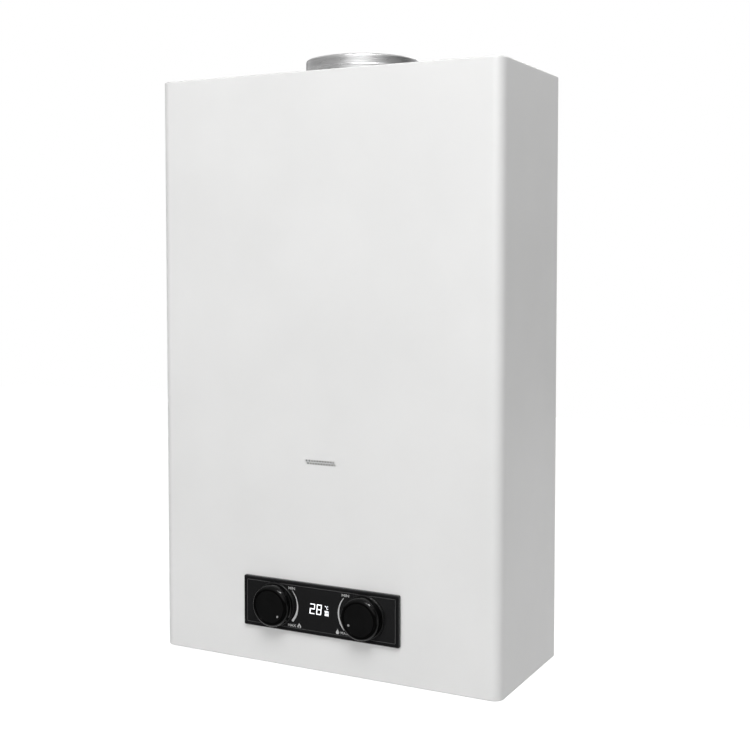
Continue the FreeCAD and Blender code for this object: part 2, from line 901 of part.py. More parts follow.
def hot_fitting_top():
    """Top of the hot outlet's hexagon, where the hot pipe begins."""
    return bracket_top + hot_fitting_rise


def pipe_unions():
    """Hexagon union nuts where pipes meet valves and tubes."""
    tube_end = chamber_width / 2 + tube_end_length
    places = tube_places()
    nuts = [union_nut(vec(tube_end, places[0], tube_level), X_AXIS * -1, tube_radius)]
    nuts.append(union_nut(vec(-tube_end, places[-1], tube_level), X_AXIS, tube_radius))
    ends = [(cold_inlet_x, valve_top, feed_pipe_radius), (gas_x, valve_top, gas_riser_radius)]
    ends.append((hot_outlet_x, hot_fitting_top(), hot_pipe_radius))
    for x, seat, radius in ends:
        nuts.append(union_nut(vec(x, connection_y, seat + seat_gap), Z_AXIS, radius))
    return Part.makeCompound(nuts)


def union_nut(start, axis, radius):
    """A hexagon nut round a pipe, from start along the axis."""
    end = start + axis * union_length
    nut = hexagon(union_width, start, end)
    return nut.cut(rod(radius + shaft_gap, start - axis * overshoot, end + axis * overshoot))


def bar_places():
    """Middles of the burner bars along X."""
    first = -bar_pitch * (bar_count - 1) / 2
    return [first + bar_pitch * i for i in range(bar_count)]


def burner_bars():
    """Pressed burner bars with a roof-shaped flame edge and a gas mouth in front."""
    bars = []
    front = burner_front + burner_frame_sheet + sheet_gap
    rear = burner_rear - burner_frame_sheet - sheet_gap
    half = bar_width / 2
    roof = half / bar_roof_share
    shoulder = bar_top - half
    for x in bar_places():
        outline = [vec(x - half, front, bar_bottom), vec(x + half, front, bar_bottom)]
        outline += [vec(x + half, front, shoulder), vec(x + roof, front, bar_top)]
        outline += [vec(x - roof, front, bar_top), vec(x - half, front, shoulder)]
        bar = polygon_prism(outline, Y_AXIS * (rear - front))
        bar = bar.cut(bar_hollow(x, front, rear))
        mouth = vec(x, front - overshoot, mouth_level)
        bars.append(bar.cut(hexagon(bar_mouth_width, mouth, mouth + Y_AXIS * (bar_mouth_depth + overshoot))))
    return Part.makeCompound(bars)


def bar_hollow(x, front, rear):
    """The mixing space inside a burner bar, entered by its gas mouth."""
    half = bar_width / 2 - bar_sheet
    shoulder = bar_top - half
    base = bar_bottom + bar_sheet
    start = front + bar_mouth_depth / 2
    outline = [vec(x - half, start, base), vec(x + half, start, base)]
    outline += [vec(x + half, start, shoulder - bar_sheet), vec(x, start, bar_top - 2 * bar_sheet)]
    outline.append(vec(x - half, start, shoulder - bar_sheet))
    return polygon_prism(outline, Y_AXIS * (rear - bar_sheet - start))


def burner_frame():
    """The sheet frame that holds the bars, with a window for the injectors."""
    half = burner_half
    inner = half - burner_frame_sheet
    ring = block(-half, half, burner_front, burner_rear, burner_bottom, burner_top)
    ring = ring.cut(block(-inner, inner, burner_front + burner_frame_sheet, burner_rear - burner_frame_sheet,
                          burner_bottom - overshoot, burner_top + overshoot))
    window_half = bar_pitch * bar_count / 2 - bar_width / 4
    ring = ring.cut(block(-window_half, window_half, burner_front - overshoot,
                          burner_front + burner_frame_sheet + overshoot,
                          mouth_level - burner_window_height / 2, mouth_level + burner_window_height / 2))
    for side, depth in ((-1, igniter_depth), (1, sensor_depth)):
        start = vec(side * (half + overshoot), -depth, electrode_level())
        reach = burner_frame_sheet + 2 * overshoot
        ring = ring.cut(rod(ceramic_radius + hole_gap, start, start - X_AXIS * side * reach))
    return ring


def electrode_level():
    """Level of the electrodes, between the flame edges and the top of the burner frame."""
    return (burner_top + bar_top) / 2


def gas_manifold():
    """The square gas rail in front of the bars, with its feet and the pipe up from the valve."""
    half = burner_half - burner_frame_sheet
    front = manifold_rear - manifold_size
    low = mouth_level - manifold_size / 2
    high = mouth_level + manifold_size / 2
    rail = block(-half, half, front, manifold_rear, low, high)
    for side in (-1, 1):
        rail = rail.fuse(block(side * half, side * (half - manifold_foot), manifold_rear,
                               burner_front - seat_gap, low, high))
    return rail.fuse(gas_riser(low))


def manifold_middle():
    """Depth of the gas rail's axis."""
    return manifold_rear - manifold_size / 2


def injectors():
    """One brass gas jet for each burner bar."""
    jets = []
    for x in bar_places():
        start = vec(x, manifold_rear, mouth_level)
        jets.append(hexagon(injector_width, start, start + Y_AXIS * injector_length))
    return Part.makeCompound(jets)


def gas_riser(end):
    """The gas pipe from the valve's top up to the manifold's underside."""
    start = valve_top + seat_gap
    slant = (manifold_middle() - connection_y) / 2
    middle = (start + union_length + end) / 2
    route = [vec(gas_x, connection_y, start), vec(gas_x, connection_y, middle + slant)]
    route += [vec(gas_x, manifold_middle(), middle - slant), vec(gas_x, manifold_middle(), end + overshoot)]
    return piped(route, gas_riser_radius, gas_riser_bend)


def electrode(side, depth):
    """A wire electrode in a ceramic sleeve that stands on a small mounting plate."""
    level = electrode_level()
    ceramic_start = vec(side * (burner_half - ceramic_inset), -depth, level)
    ceramic_end = ceramic_start + X_AXIS * side * ceramic_length
    tip = ceramic_start - X_AXIS * side * electrode_reach
    body = rod(ceramic_radius, ceramic_start, ceramic_end)
    body = body.fuse(rod(electrode_radius, tip, ceramic_start))
    half = electrode_plate_size / 2
    plate_start = burner_half + seat_gap
    plate = block(side * plate_start, side * (plate_start + electrode_plate_sheet), -depth - half,
                  -depth + half, level - half, level + half)
    return body.fuse(plate)


def electrode_end(side, depth):
    """The outer end of an electrode's ceramic, where its lead plugs on."""
    return vec(side * (burner_half - ceramic_inset + ceramic_length + seat_gap), -depth, electrode_level())


def cast_block(x):
    """The cast housing of a control valve, with its long edges rounded."""
    return front_box(x - valve_half_width, x + valve_half_width, control_axis - valve_half_width,
                     control_axis + valve_half_width, -valve_body_front, -valve_body_rear, valve_corner)


def vertical_boss(x, low, high):
    """An upright hexagon boss with a square flange at each end."""
    boss = hexagon(valve_boss_width, vec(x, connection_y, low), vec(x, connection_y, high))
    half = valve_flange_half
    for start in (low, high - valve_flange_thickness):
        boss = boss.fuse(block(x - half, x + half, connection_y - half, connection_y + half, start,
                               start + valve_flange_thickness))
    return boss


def gas_valve_body():
    """The cast gas valve, bored for its spindle and for the push rod."""
    centre = vec(gas_x, connection_y, control_axis)
    body = cast_block(gas_x).fuse(vertical_boss(gas_x, valve_bottom, valve_top))
    body = body.fuse(hexagon(gas_side_width, centre, centre + X_AXIS * gas_side_reach))
    body = body.fuse(hexagon(valve_boss_width, centre, centre - X_AXIS * solenoid_boss_reach))
    body = body.cut(spindle_bore(gas_x))
    mouth = centre + X_AXIS * (gas_side_reach + overshoot)
    body = body.cut(rod(rod_radius + shaft_gap, mouth, mouth - X_AXIS * (rod_bore_depth + overshoot)))
    return body.removeSplitter()


def spindle_bore(x):
    """The blind bore for a spindle, from the front of a valve."""
    start = vec(x, -valve_body_front - overshoot, control_axis)
    reach = overshoot + spindle_depth_in_valve + seat_gap
    return rod(spindle_radius + shaft_gap, start, start + Y_AXIS * reach)


def gas_solenoid():
    """The coil of the gas shut-off on the left of the valve, with its yoke and end nut."""
    start = vec(gas_x - solenoid_boss_reach - seat_gap, connection_y, control_axis)
    coil_end = start - X_AXIS * solenoid_length
    coil = rod(solenoid_radius, start, coil_end)
    nut = hexagon(solenoid_cap_width, coil_end, coil_end - X_AXIS * solenoid_cap_length)
    half = solenoid_radius + solenoid_yoke_margin
    yoke = block(start.x - solenoid_yoke, start.x, connection_y - half, connection_y + half,
                 control_axis - half, control_axis + half)
    return coil.fuse([nut, yoke])


def threaded_fitting(x, top):
    """A half-inch connection: a hexagon above the bracket, a neck through it and a plain thread form."""
    low = vec(x, connection_y, fitting_end)
    step = low + Z_AXIS * thread_length
    seat = vec(x, connection_y, bracket_top + seat_gap)
    end = vec(x, connection_y, top)
    fitting = rod(thread_radius, low, step).fuse([rod(thread_neck_radius, step, seat),
                                                  hexagon(fitting_width, seat, end)])
    return fitting.cut(rod(fitting_bore_radius, low - Z_AXIS * overshoot, end + Z_AXIS * overshoot))


def lock_nuts():
    """Thin nuts that clamp the connections from below the bracket."""
    nuts = []
    for x in (hot_outlet_x, gas_x, cold_inlet_x):
        low = vec(x, connection_y, lock_nut_bottom)
        high = low + Z_AXIS * lock_nut_height
        bore = rod(thread_neck_radius + shaft_gap, low - Z_AXIS * overshoot, high + Z_AXIS * overshoot)
        nuts.append(hexagon(lock_nut_width, low, high).cut(bore))
    return Part.makeCompound(nuts)


def water_valve_body():
    """The water valve with its diaphragm flange, regulator housing and drain boss."""
    centre = vec(cold_inlet_x, connection_y, control_axis)
    start = diaphragm_right
    body = cast_block(water_x).fuse(vertical_boss(cold_inlet_x, valve_bottom, valve_top))
    body = body.fuse(housing_plate(start, start + housing_flange))
    body = body.fuse(side_box(start, water_x, connection_y - dome_half, connection_y + dome_half,
                              control_axis - dome_half, control_axis + dome_half, housing_corner))
    body = body.fuse(hexagon(drain_boss_width, centre, centre + X_AXIS * drain_boss_reach))
    chamber = vec(start - overshoot, connection_y, control_axis)
    reach = overshoot + diaphragm_chamber_depth
    body = body.cut(rod(diaphragm_chamber_radius, chamber, chamber + X_AXIS * reach))
    body = body.cut(spindle_bore(water_x))
    inlet = vec(cold_inlet_x, connection_y, valve_bottom - overshoot)
    reach = overshoot + filter_reach() + seat_gap
    body = body.cut(rod(fitting_bore_radius, inlet, inlet + Z_AXIS * reach))
    return body.removeSplitter()


def housing_plate(left, right):
    """The square flange of the diaphragm housing, with rounded corners."""
    return side_box(left, right, connection_y - housing_half, connection_y + housing_half,
                    control_axis - housing_half, control_axis + housing_half, housing_corner)


def housing_screw_places(x):
    """Centres of the four screws of the diaphragm housing, in the plane x."""
    places = []
    for y_side in (-1, 1):
        for z_side in (-1, 1):
            places.append(vec(x, connection_y + y_side * housing_screw_offset,
                              control_axis + z_side * housing_screw_offset))
    return places


def diaphragm_cover():
    """The domed left half of the diaphragm housing, with two legs to the gas valve."""
    cover = housing_plate(cover_flange_left, diaphragm_left)
    cover = cover.fuse(side_box(neck_right, cover_flange_left, connection_y - dome_half,
                                connection_y + dome_half, control_axis - dome_half,
                                control_axis + dome_half, housing_corner))
    start = vec(neck_right - overshoot, connection_y, control_axis)
    chamber = start + X_AXIS * (overshoot + dome_wall)
    end = vec(diaphragm_left + overshoot, connection_y, control_axis)
    cover = cover.cut(rod(diaphragm_chamber_radius, chamber, end))
    cover = cover.cut(rod(rod_radius + shaft_gap, start, chamber + X_AXIS * overshoot))
    for side in (-1, 1):
        y = connection_y + side * neck_leg_offset
        thick = neck_leg_width / 2
        leg = block(neck_left + seat_gap, neck_right + overshoot, y - thick, y + thick,
                    control_axis - thick, control_axis + thick)
        cover = cover.fuse(leg)
    return cover.removeSplitter()


def diaphragm():
    """The rubber sheet clamped between the two housing halves."""
    return side_box(diaphragm_left + seat_gap / 2, diaphragm_right - seat_gap / 2,
                    connection_y - diaphragm_half, connection_y + diaphragm_half,
                    control_axis - diaphragm_half, control_axis + diaphragm_half, diaphragm_corner)


def pushrod():
    """The rod that the diaphragm moves, with its plate and the nut that meets the switch lever."""
    plate_right = vec(diaphragm_left - seat_gap, connection_y, control_axis)
    plate_left = plate_right - X_AXIS * rod_plate_thickness
    rod_end = vec(neck_left - rod_bore_depth + rod_travel + rod_end_gap, connection_y, control_axis)
    body = rod(rod_plate_radius, plate_left, plate_right)
    body = body.fuse(rod(rod_radius, rod_end, plate_left))
    nut_end = vec(lever_face(), connection_y, control_axis)
    return body.fuse(hexagon(rod_nut_width, nut_end, nut_end + X_AXIS * rod_nut_length))


def lever_face():
    """Where the push rod's nut meets the switch lever at rest."""
    return neck_right - rod_nut_length - rod_nut_gap


def return_spring():
    """The spring between the push rod's plate and the housing, as its plain outer sleeve."""
    end = vec(diaphragm_left - 2 * seat_gap - rod_plate_thickness, connection_y, control_axis)
    start = vec(neck_right + dome_wall + seat_gap, connection_y, control_axis)
    sleeve = rod(spring_radius, start, end)
    return sleeve.cut(rod(spring_radius - spring_wall, start - X_AXIS * overshoot, end + X_AXIS * overshoot))


def spindle(x):
    """A valve spindle that carries a knob, with a flat for the knob's bore."""
    inner = vec(x, -valve_body_front + spindle_depth_in_valve, control_axis)
    outer = vec(x, knob_back - knob_bore_depth + seat_gap, control_axis)
    shaft = rod(spindle_radius, inner, outer)
    flat = block(x - spindle_radius, x + spindle_radius, outer.y - overshoot, knob_back,
                 control_axis + spindle_radius - spindle_flat, control_axis + spindle_radius + overshoot)
    return shaft.cut(flat)


def knob(x, turn):
    """A knob with a flared foot, a round shoulder, a raised rim and a dimple that marks its position."""
    shoulder = knob_side_radius - knob_side_taper
    face = knob_height - knob_face_recess
    profile = [(0, 0, 0), (knob_base_radius, 0, 0), (knob_base_radius, knob_base_height, 0)]
    profile += [(knob_side_radius, knob_foot_height, 0), (shoulder, knob_height, knob_shoulder_bend)]
    profile += [(knob_face_radius, knob_height, 0), (knob_face_radius, face, 0), (0, face, 0)]
    centre = vec(x, knob_back, control_axis)
    corners = [(centre + X_AXIS * radius - Y_AXIS * along, bend) for radius, along, bend in profile]
    body = Part.Face(rounded_outline(corners)).revolve(centre, Y_AXIS * -1, 360)
    start = vec(x, knob_back + overshoot, control_axis)
    bore = rod(spindle_radius + shaft_gap, start, start - Y_AXIS * (overshoot + knob_bore_depth))
    flat = control_axis + spindle_radius - spindle_flat + shaft_gap
    bore = bore.cut(block(x - 2 * spindle_radius, x + 2 * spindle_radius, start.y + overshoot,
                          start.y - 2 * overshoot - knob_bore_depth, flat, flat + 2 * spindle_radius))
    angle = math.radians(turn - 90)
    dot = vec(x + dot_distance * math.cos(angle), knob_back - face - overshoot,
              control_axis + dot_distance * math.sin(angle))
    return body.cut([bore, rod(dot_radius, dot, dot + Y_AXIS * (overshoot + dot_depth))])


def panel_frame():
    """The moulded panel frame, with a bevelled rim, a skirt through the cover and four hooks."""
    half = panel_width / 2
    tall = panel_height / 2
    low = control_axis - tall
    high = control_axis + tall
    body = front_box(-half, half, low, high, panel_front, panel_back, panel_corner)
    edges = [edge for edge in body.Edges if abs(edge.BoundBox.YMax - panel_front) < same_place]
    body = body.makeChamfer(panel_bevel, edges)
    skirt_half = half - panel_skirt_inset
    skirt_tall = tall - panel_skirt_inset
    skirt_back = case_front + panel_skirt_depth
    skirt = block(-skirt_half, skirt_half, face_back, skirt_back, control_axis - skirt_tall,
                  control_axis + skirt_tall)
    inner_half = skirt_half - panel_skirt_wall
    inner_tall = skirt_tall - panel_skirt_wall
    base_back = face_back + panel_base
    hollow = block(-inner_half, inner_half, base_back, skirt_back + overshoot, control_axis - inner_tall,
                   control_axis + inner_tall)
    body = body.fuse([skirt] + panel_hooks(skirt_half, skirt_tall)).cut(hollow)
    recess_half = half - panel_rim
    recess_tall = tall - panel_rim
    recess = front_box(-recess_half, recess_half, control_axis - recess_tall, control_axis + recess_tall,
                       panel_front - overshoot, face_back, panel_corner / 2)
    window = block(-display_width / 2 - sheet_gap, display_width / 2 + sheet_gap, panel_front - overshoot,
                   base_back + overshoot, control_axis - display_height / 2 - sheet_gap,
                   control_axis + display_height / 2 + sheet_gap)
    cuts = [recess, window]
    for x in (gas_x, water_x):
        start = vec(x, panel_front - overshoot, control_axis)
        end = vec(x, base_back + overshoot, control_axis)
        cuts.append(rod(spindle_radius + spindle_hole_gap, start, end))
    return body.cut(cuts)


def panel_hooks(skirt_half, skirt_tall):
    """Snap hooks above and below the skirt that hold the panel behind the cover's sheet."""
    hooks = []
    front = case_front + cover_sheet + seat_gap
    for side in (-1, 1):
        left = side * skirt_half / 2 - panel_hook_width / 2
        for way in (-1, 1):
            edge = control_axis + way * skirt_tall
            root = edge - way * panel_hook_root
            points = [vec(left, front, root), vec(left, front, edge + way * panel_hook_depth)]
            points.append(vec(left, front + panel_hook_height, root))
            hooks.append(polygon_prism(points, X_AXIS * panel_hook_width))
    return hooks


def panel_face():
    """The glossy plate in the panel frame, through which the spindles pass."""
    half = panel_width / 2 - panel_rim - seat_gap
    tall = panel_height / 2 - panel_rim - seat_gap
    plate = front_box(-half, half, control_axis - tall, control_axis + tall, face_front, face_back,
                      panel_corner / 2)
    for x in (gas_x, water_x):
        start = vec(x, face_front - overshoot, control_axis)
        end = vec(x, face_back + overshoot, control_axis)
        plate = plate.cut(rod(spindle_radius + spindle_hole_gap, start, end))
    return plate


def display_module():
    """The digit display behind the window in the panel frame."""
    front = face_back + seat_gap
    return block(-display_width / 2, display_width / 2, front, front + display_depth,
                 control_axis - display_height / 2, control_axis + display_height / 2)


def display_board():
    """The circuit board behind the display, with its cable socket."""
    front = face_back + 2 * seat_gap + display_depth
    board = block(-board_width / 2, board_width / 2, front, front + board_thickness,
                  control_axis - board_height / 2, control_axis + board_height / 2)
    end = board_socket()
    half = board_socket_width / 2
    tall = board_socket_height / 2
    socket = block(end.x - half, end.x + half, front + board_thickness, end.y, end.z - tall, end.z + tall)
    return board.fuse(socket)


def board_socket():
    """The point where the display cable leaves the board."""
    back = face_back + 2 * seat_gap + display_depth + board_thickness + board_socket_depth
    return vec(board_width / 2 - board_socket_inset, back,
               control_axis + board_height / 2 - board_socket_inset)


def microswitch():
    """The switch above the push rod, on a foot that stands on the gas valve."""
    pin = lever_pin_place()
    left = pin.x - switch_length
    low = pin.z + switch_pin_radius + seat_gap
    half = switch_width / 2
    reach = switch_ear_half
    body = block(left, pin.x + reach, pin.y - half, pin.y + half, low, low + switch_height)
    inner = half + switch_ear_gap
    outer = inner + switch_ear_thickness
    middle = low + switch_height / 2
    for side in (-1, 1):
        ear = block(pin.x - reach, pin.x + reach, pin.y + side * inner, pin.y + side * outer,
                    pin.z - reach, middle)
        arm = block(pin.x - reach, pin.x + reach, pin.y + side * half, pin.y + side * outer, low, middle)
        body = body.fuse([ear, arm])
    foot = block(left, gas_x + valve_half_width - switch_foot_sink, pin.y - half, pin.y + half,
                 control_axis + valve_half_width + seat_gap, low + switch_foot_sink)
    start = vec(pin.x, pin.y - outer - overshoot, pin.z)
    pin_hole = rod(switch_pin_radius + shaft_gap, start, start + Y_AXIS * 2 * (outer + overshoot))
    return body.fuse(foot).cut(pin_hole)


def lever_pin_place():
    """The middle of the switch lever's pin."""
    return vec(lever_face() - seat_gap - lever_thickness / 2, connection_y, control_axis + lever_pin_height)


def switch_lever():
    """The forked lever that the push rod's collar tips against the switch."""
    pin = lever_pin_place()
    left = pin.x - lever_thickness / 2
    right = pin.x + lever_thickness / 2
    half = lever_width / 2
    plate = block(left, right, pin.y - half, pin.y + half, control_axis - lever_overlap, pin.z)
    reach = switch_width / 2 + switch_ear_gap + switch_ear_thickness
    shaft = rod(switch_pin_radius, pin - Y_AXIS * reach, pin + Y_AXIS * reach)
    gap = rod_radius + lever_fork_gap
    fork = block(left - overshoot, right + overshoot, pin.y - gap, pin.y + gap,
                 control_axis - lever_overlap - overshoot, control_axis + gap)
    return plate.fuse(shaft).cut(fork)


def drain_plug():
    """The hexagon plug in the water valve's right side."""
    start = vec(cold_inlet_x + drain_boss_reach + seat_gap, connection_y, control_axis)
    return hexagon(drain_plug_width, start, start + X_AXIS * drain_plug_length)


def inlet_filter():
    """The strainer in the cold inlet."""
    start = vec(cold_inlet_x, connection_y, valve_bottom - filter_length + filter_reach())
    return rod(filter_radius, start, start + Z_AXIS * filter_length)


def filter_reach():
    """How far the strainer reaches up into the water valve."""
    return filter_length / 3


def battery_floor():
    """Underside of the battery box, just above its lid."""
    return case_bottom + lid_thickness + lid_below_box


def cell_base():
    """Level of the cells' lower ends, on the contact springs."""
    return battery_floor() + contact_sheet + contact_spring_height


def battery_ceiling():
    """Underside of the battery box's roof."""
    return cell_base() + cell_height + cell_nub_height + contact_sheet + 2 * seat_gap


def battery_box():
    """The moulded battery box, open at the bottom, with ears for the lid's hinge pin."""
    left, right, front, rear = battery_bay()
    floor = battery_floor()
    roof = battery_ceiling() + battery_wall
    outer = upright_box(left, right, front, rear, floor, roof, battery_corner)
    wall = battery_wall
    inner = block(left + wall, right - wall, front + wall, rear - wall, floor - overshoot, battery_ceiling())
    rim_low = bracket_top + seat_gap
    rim = block(left - battery_rim_width, right + battery_rim_width, front - battery_rim_width,
                rear + lid_hinge_offset + battery_rim_rear, rim_low, rim_low + battery_rim_thickness)
    box = outer.fuse(rim).cut(inner)
    hinge = lid_hinge()
    for ear_left in (left, right - lid_ear_width):
        ear_right = ear_left + lid_ear_width
        ear = rod(lid_hinge_radius, vec(ear_left, hinge.y, hinge.z), vec(ear_right, hinge.y, hinge.z))
        web = block(ear_left, ear_right, hinge.y - lid_hinge_radius, hinge.y + lid_hinge_radius, hinge.z,
                    rim_low + battery_rim_thickness / 2)
        box = box.fuse([ear, web])
    start = vec(left - overshoot, hinge.y, hinge.z)
    end = vec(right + overshoot, hinge.y, hinge.z)
    return box.cut(rod(lid_pin_radius + shaft_gap, start, end)).removeSplitter()


def lid_hinge():
    """A point on the battery lid's hinge axis."""
    rear = battery_bay()[3]
    return vec(battery_centre_x, rear + lid_hinge_offset, case_bottom + lid_thickness / 2)


def battery_lid():
    """The battery lid with its hinge knuckle and a snap tongue at the front."""
    left, right, front, rear = battery_bay()
    top = case_bottom + lid_thickness
    plate = upright_box(left, right, front, rear, case_bottom, top, lid_corner)
    hinge = lid_hinge()
    knuckle_left = left + lid_ear_width + sheet_gap
    knuckle_right = right - lid_ear_width - sheet_gap
    barrel = rod(lid_hinge_radius, vec(knuckle_left, hinge.y, hinge.z), vec(knuckle_right, hinge.y, hinge.z))
    web = block(knuckle_left, knuckle_right, rear - lid_corner, hinge.y, case_bottom, hinge.z)
    tongue_front = front + battery_wall + battery_play
    tongue = block(battery_centre_x - lid_tongue_width / 2, battery_centre_x + lid_tongue_width / 2,
                   tongue_front, tongue_front + lid_tongue_thickness, top - lid_thickness / 2,
                   top + lid_tongue_height)
    lid = plate.fuse([barrel, web, tongue])
    start = vec(left, hinge.y, hinge.z)
    return lid.cut(rod(lid_pin_radius + shaft_gap, start, start + X_AXIS * (right - left)))


def lid_pin():
    """The steel pin of the battery lid's hinge."""
    left, right, front, rear = battery_bay()
    hinge = lid_hinge()
    return rod(lid_pin_radius, vec(left, hinge.y, hinge.z), vec(right, hinge.y, hinge.z))


def cell_places():
    """Axes of the two cells along X."""
    return [battery_centre_x - cell_pitch / 2, battery_centre_x + cell_pitch / 2]


def batteries():
    """Two D cells standing side by side, one of them upside down."""
    cells = []
    for x, way in zip(cell_places(), (1, -1)):
        base = cell_base() if way > 0 else cell_base() + cell_height + cell_nub_height
        start = vec(x, -battery_centre_depth, base)
        end = start + Z_AXIS * way * cell_height
        nub = rod(cell_nub_radius, end, end + Z_AXIS * way * cell_nub_height)
        cells.append(rod(cell_radius, start, end).fuse(nub))
    return Part.makeCompound(cells)


def battery_contact():
    """The strip under the box's roof that joins the two cells."""
    low = battery_ceiling() - contact_sheet
    half = cell_pitch / 2 + contact_width / 2
    front = -battery_centre_depth - contact_width / 2
    return block(battery_centre_x - half, battery_centre_x + half, front, front + contact_width,
                 low, battery_ceiling())


def lid_contact():
    """The two sprung contacts on the lid, bent from strip."""
    low = case_bottom + lid_thickness
    contacts = []
    for x in cell_places():
        y = -battery_centre_depth - contact_width / 2
        half = contact_width / 2
        spring = contact_spring_half
        rise = low + contact_sheet
        peak = rise + contact_spring_height - seat_gap
        outline = [vec(x - half, y, low), vec(x + half, y, low), vec(x + half, y, rise)]
        outline += [vec(x + spring, y, rise), vec(x + contact_peak_half, y, peak)]
        outline.append(vec(x - contact_peak_half, y, peak))
        outline += [vec(x - spring, y, rise), vec(x - half, y, rise)]
        contacts.append(polygon_prism(outline, Y_AXIS * contact_width))
    return Part.makeCompound(contacts)


def control_box():
    """The ignition control's moulded housing on the back plate, with two cable sockets."""
    half = control_width / 2
    front = control_front + control_lid_thickness + seat_gap
    body = front_box(control_centre_x - half, control_centre_x + half, control_bottom, control_top,
                     control_back, front, control_edge)
    low = control_bottom + control_socket_rise
    for side in (-1, 1):
        x = control_centre_x + side * half
        body = body.fuse(block(x - side * overshoot, x + side * control_socket_reach,
                               control_back - control_socket_back, socket_front(), low,
                               low + control_socket_height))
    return body


def socket_front():
    """Depth of the cable sockets' front side."""
    return control_back - control_socket_back - control_socket_depth


def control_lid():
    """The stepped lid of the control box."""
    half = control_width / 2
    left = control_centre_x - half
    right = control_centre_x + half
    back = control_front + control_lid_thickness
    margin = control_lid_margin
    step = control_front + control_lid_step
    lid = front_box(left, right, control_bottom, control_top, back, step, control_edge)
    raised = front_box(left + margin, right - margin, control_bottom + margin, control_top - margin,
                       back, control_front, control_edge)
    return lid.fuse(raised).removeSplitter()


def socket_point(side, number):
    """The end of one lead at a side socket of the control box."""
    x = control_centre_x + side * (control_width / 2 + control_socket_reach + seat_gap)
    y = control_back - control_socket_back - control_socket_depth / 2
    return vec(x, y, control_bottom + control_socket_rise + lead_rise + lead_pitch * number)


def ignition_lead():
    """The high-voltage lead to the ignition electrode on the left."""
    return electrode_lead(socket_point(-1, 1), electrode_end(-1, igniter_depth), -1)


def electrode_lead(start, end, side):
    """A lead out of a side socket, up past the burner and back into an electrode's end."""
    out = end.x + side * (lead_bend + overshoot)
    route = [start, vec(out, start.y, start.z), vec(out, end.y, end.z), end]
    across = X_AXIS.cross(route[2] - route[1]).normalize()
    return flat_lead(route, across, lead_width, lead_width, lead_bend)


def sensor_lead():
    """The lead to the flame sensor on the right."""
    return electrode_lead(socket_point(1, 1), electrode_end(1, sensor_depth), 1)


def wiring_harness():
    """The low-voltage leads: from the batteries, to the gas coil and the display's ribbon."""
    return Part.makeCompound([battery_lead(), valve_lead(), display_ribbon()])


def battery_lead():
    """The lead from the battery box's left side to the control box."""
    left, right, front, rear = battery_bay()
    start = vec(left - seat_gap, rear - battery_lead_inset, battery_ceiling() - battery_lead_inset)
    end = socket_point(1, 0)
    route = [start, start - X_AXIS * (lead_bend + overshoot), end + X_AXIS * 1.4 * lead_bend, end]
    across = X_AXIS.cross(route[2] - route[1]).normalize()
    return flat_lead(route, across, flat_lead_width, flat_lead_thickness, 0.8 * lead_bend)


def valve_lead():
    """The flat lead from the control box's socket down to the gas shut-off's coil."""
    x = socket_point(-1, 0).x + valve_lead_shift
    end = vec(x, connection_y, control_axis + solenoid_radius + seat_gap)
    start = vec(x, socket_front() - seat_gap, control_bottom + control_socket_depth)
    route = [start, vec(x, end.y, start.z), end]
    return flat_lead(route, X_AXIS, valve_lead_width, flat_lead_thickness, lead_bend)


def display_ribbon():
    """The ribbon from the display board up over the valves to the control box."""
    start = board_socket()
    end = vec(start.x, control_front - seat_gap, control_bottom + control_height / 2)
    turn = start.y + lead_bend + flat_lead_thickness
    route = [start, vec(start.x, turn, start.z), vec(start.x, turn, end.z), end]
    return flat_lead(route, X_AXIS, ribbon_width, flat_lead_thickness / 2, lead_bend)


def disc_thermostat(seat):
    """A round thermostat with two flat tabs, standing out to the front from its seat."""
    face = seat - Y_AXIS * thermostat_height
    body = rod(thermostat_radius, seat, face)
    tabs = []
    for side in (-1, 1):
        x = seat.x + side * thermostat_radius / 2
        tabs.append(block(x - thermostat_tab_width / 2, x + thermostat_tab_width / 2, face.y,
                          face.y - thermostat_tab_length, seat.z - thermostat_tab_sheet / 2,
                          seat.z + thermostat_tab_sheet / 2))
    return body.fuse(tabs)


def overheat_thermostat():
    """The cut-out on the front of the combustion chamber."""
    seat = vec(chamber_thermostat_x, chamber_front - seat_gap, chamber_top - chamber_thermostat_drop)
    return disc_thermostat(seat)


def draught_sensor():
    """The spillage cut-out on the front of the draught hood."""
    seat = vec(hood_sensor_x, hood_front - seat_gap, hood_bottom + hood_sensor_rise)
    return disc_thermostat(seat)


def outlet_sensor():
    """The temperature probe screwed into the hot outlet's side."""
    start = vec(hot_outlet_x, connection_y - fitting_width / math.sqrt(3) - seat_gap,
                (bracket_top + hot_fitting_top()) / 2)
    nut_end = start - Y_AXIS * outlet_sensor_nut
    body = rod(outlet_sensor_radius, nut_end, start - Y_AXIS * outlet_sensor_length)
    return body.fuse(hexagon(outlet_sensor_width, start, nut_end))


def chamber_brackets():
    """Two bent straps that hold the heat exchanger off the back plate."""
    straps = []
    level = chamber_top - bracket_strap_drop
    sheet = bracket_strap_sheet
    wall = -plate_sheet - seat_gap
    shell = -chamber_rear + seat_gap
    for side in (-1, 1):
        x = side * bracket_strap_spacing / 2 - bracket_strap_width / 2
        points = [vec(x, wall, level - bracket_strap_foot), vec(x, wall, level)]
        points += [vec(x, shell + sheet, level), vec(x, shell + sheet, level + bracket_strap_foot)]
        points += [vec(x, shell, level + bracket_strap_foot), vec(x, shell, level - sheet)]
        points += [vec(x, wall - sheet, level - sheet), vec(x, wall - sheet, level - bracket_strap_foot)]
        straps.append(polygon_prism(points, X_AXIS * bracket_strap_width))
    return Part.makeCompound(straps)


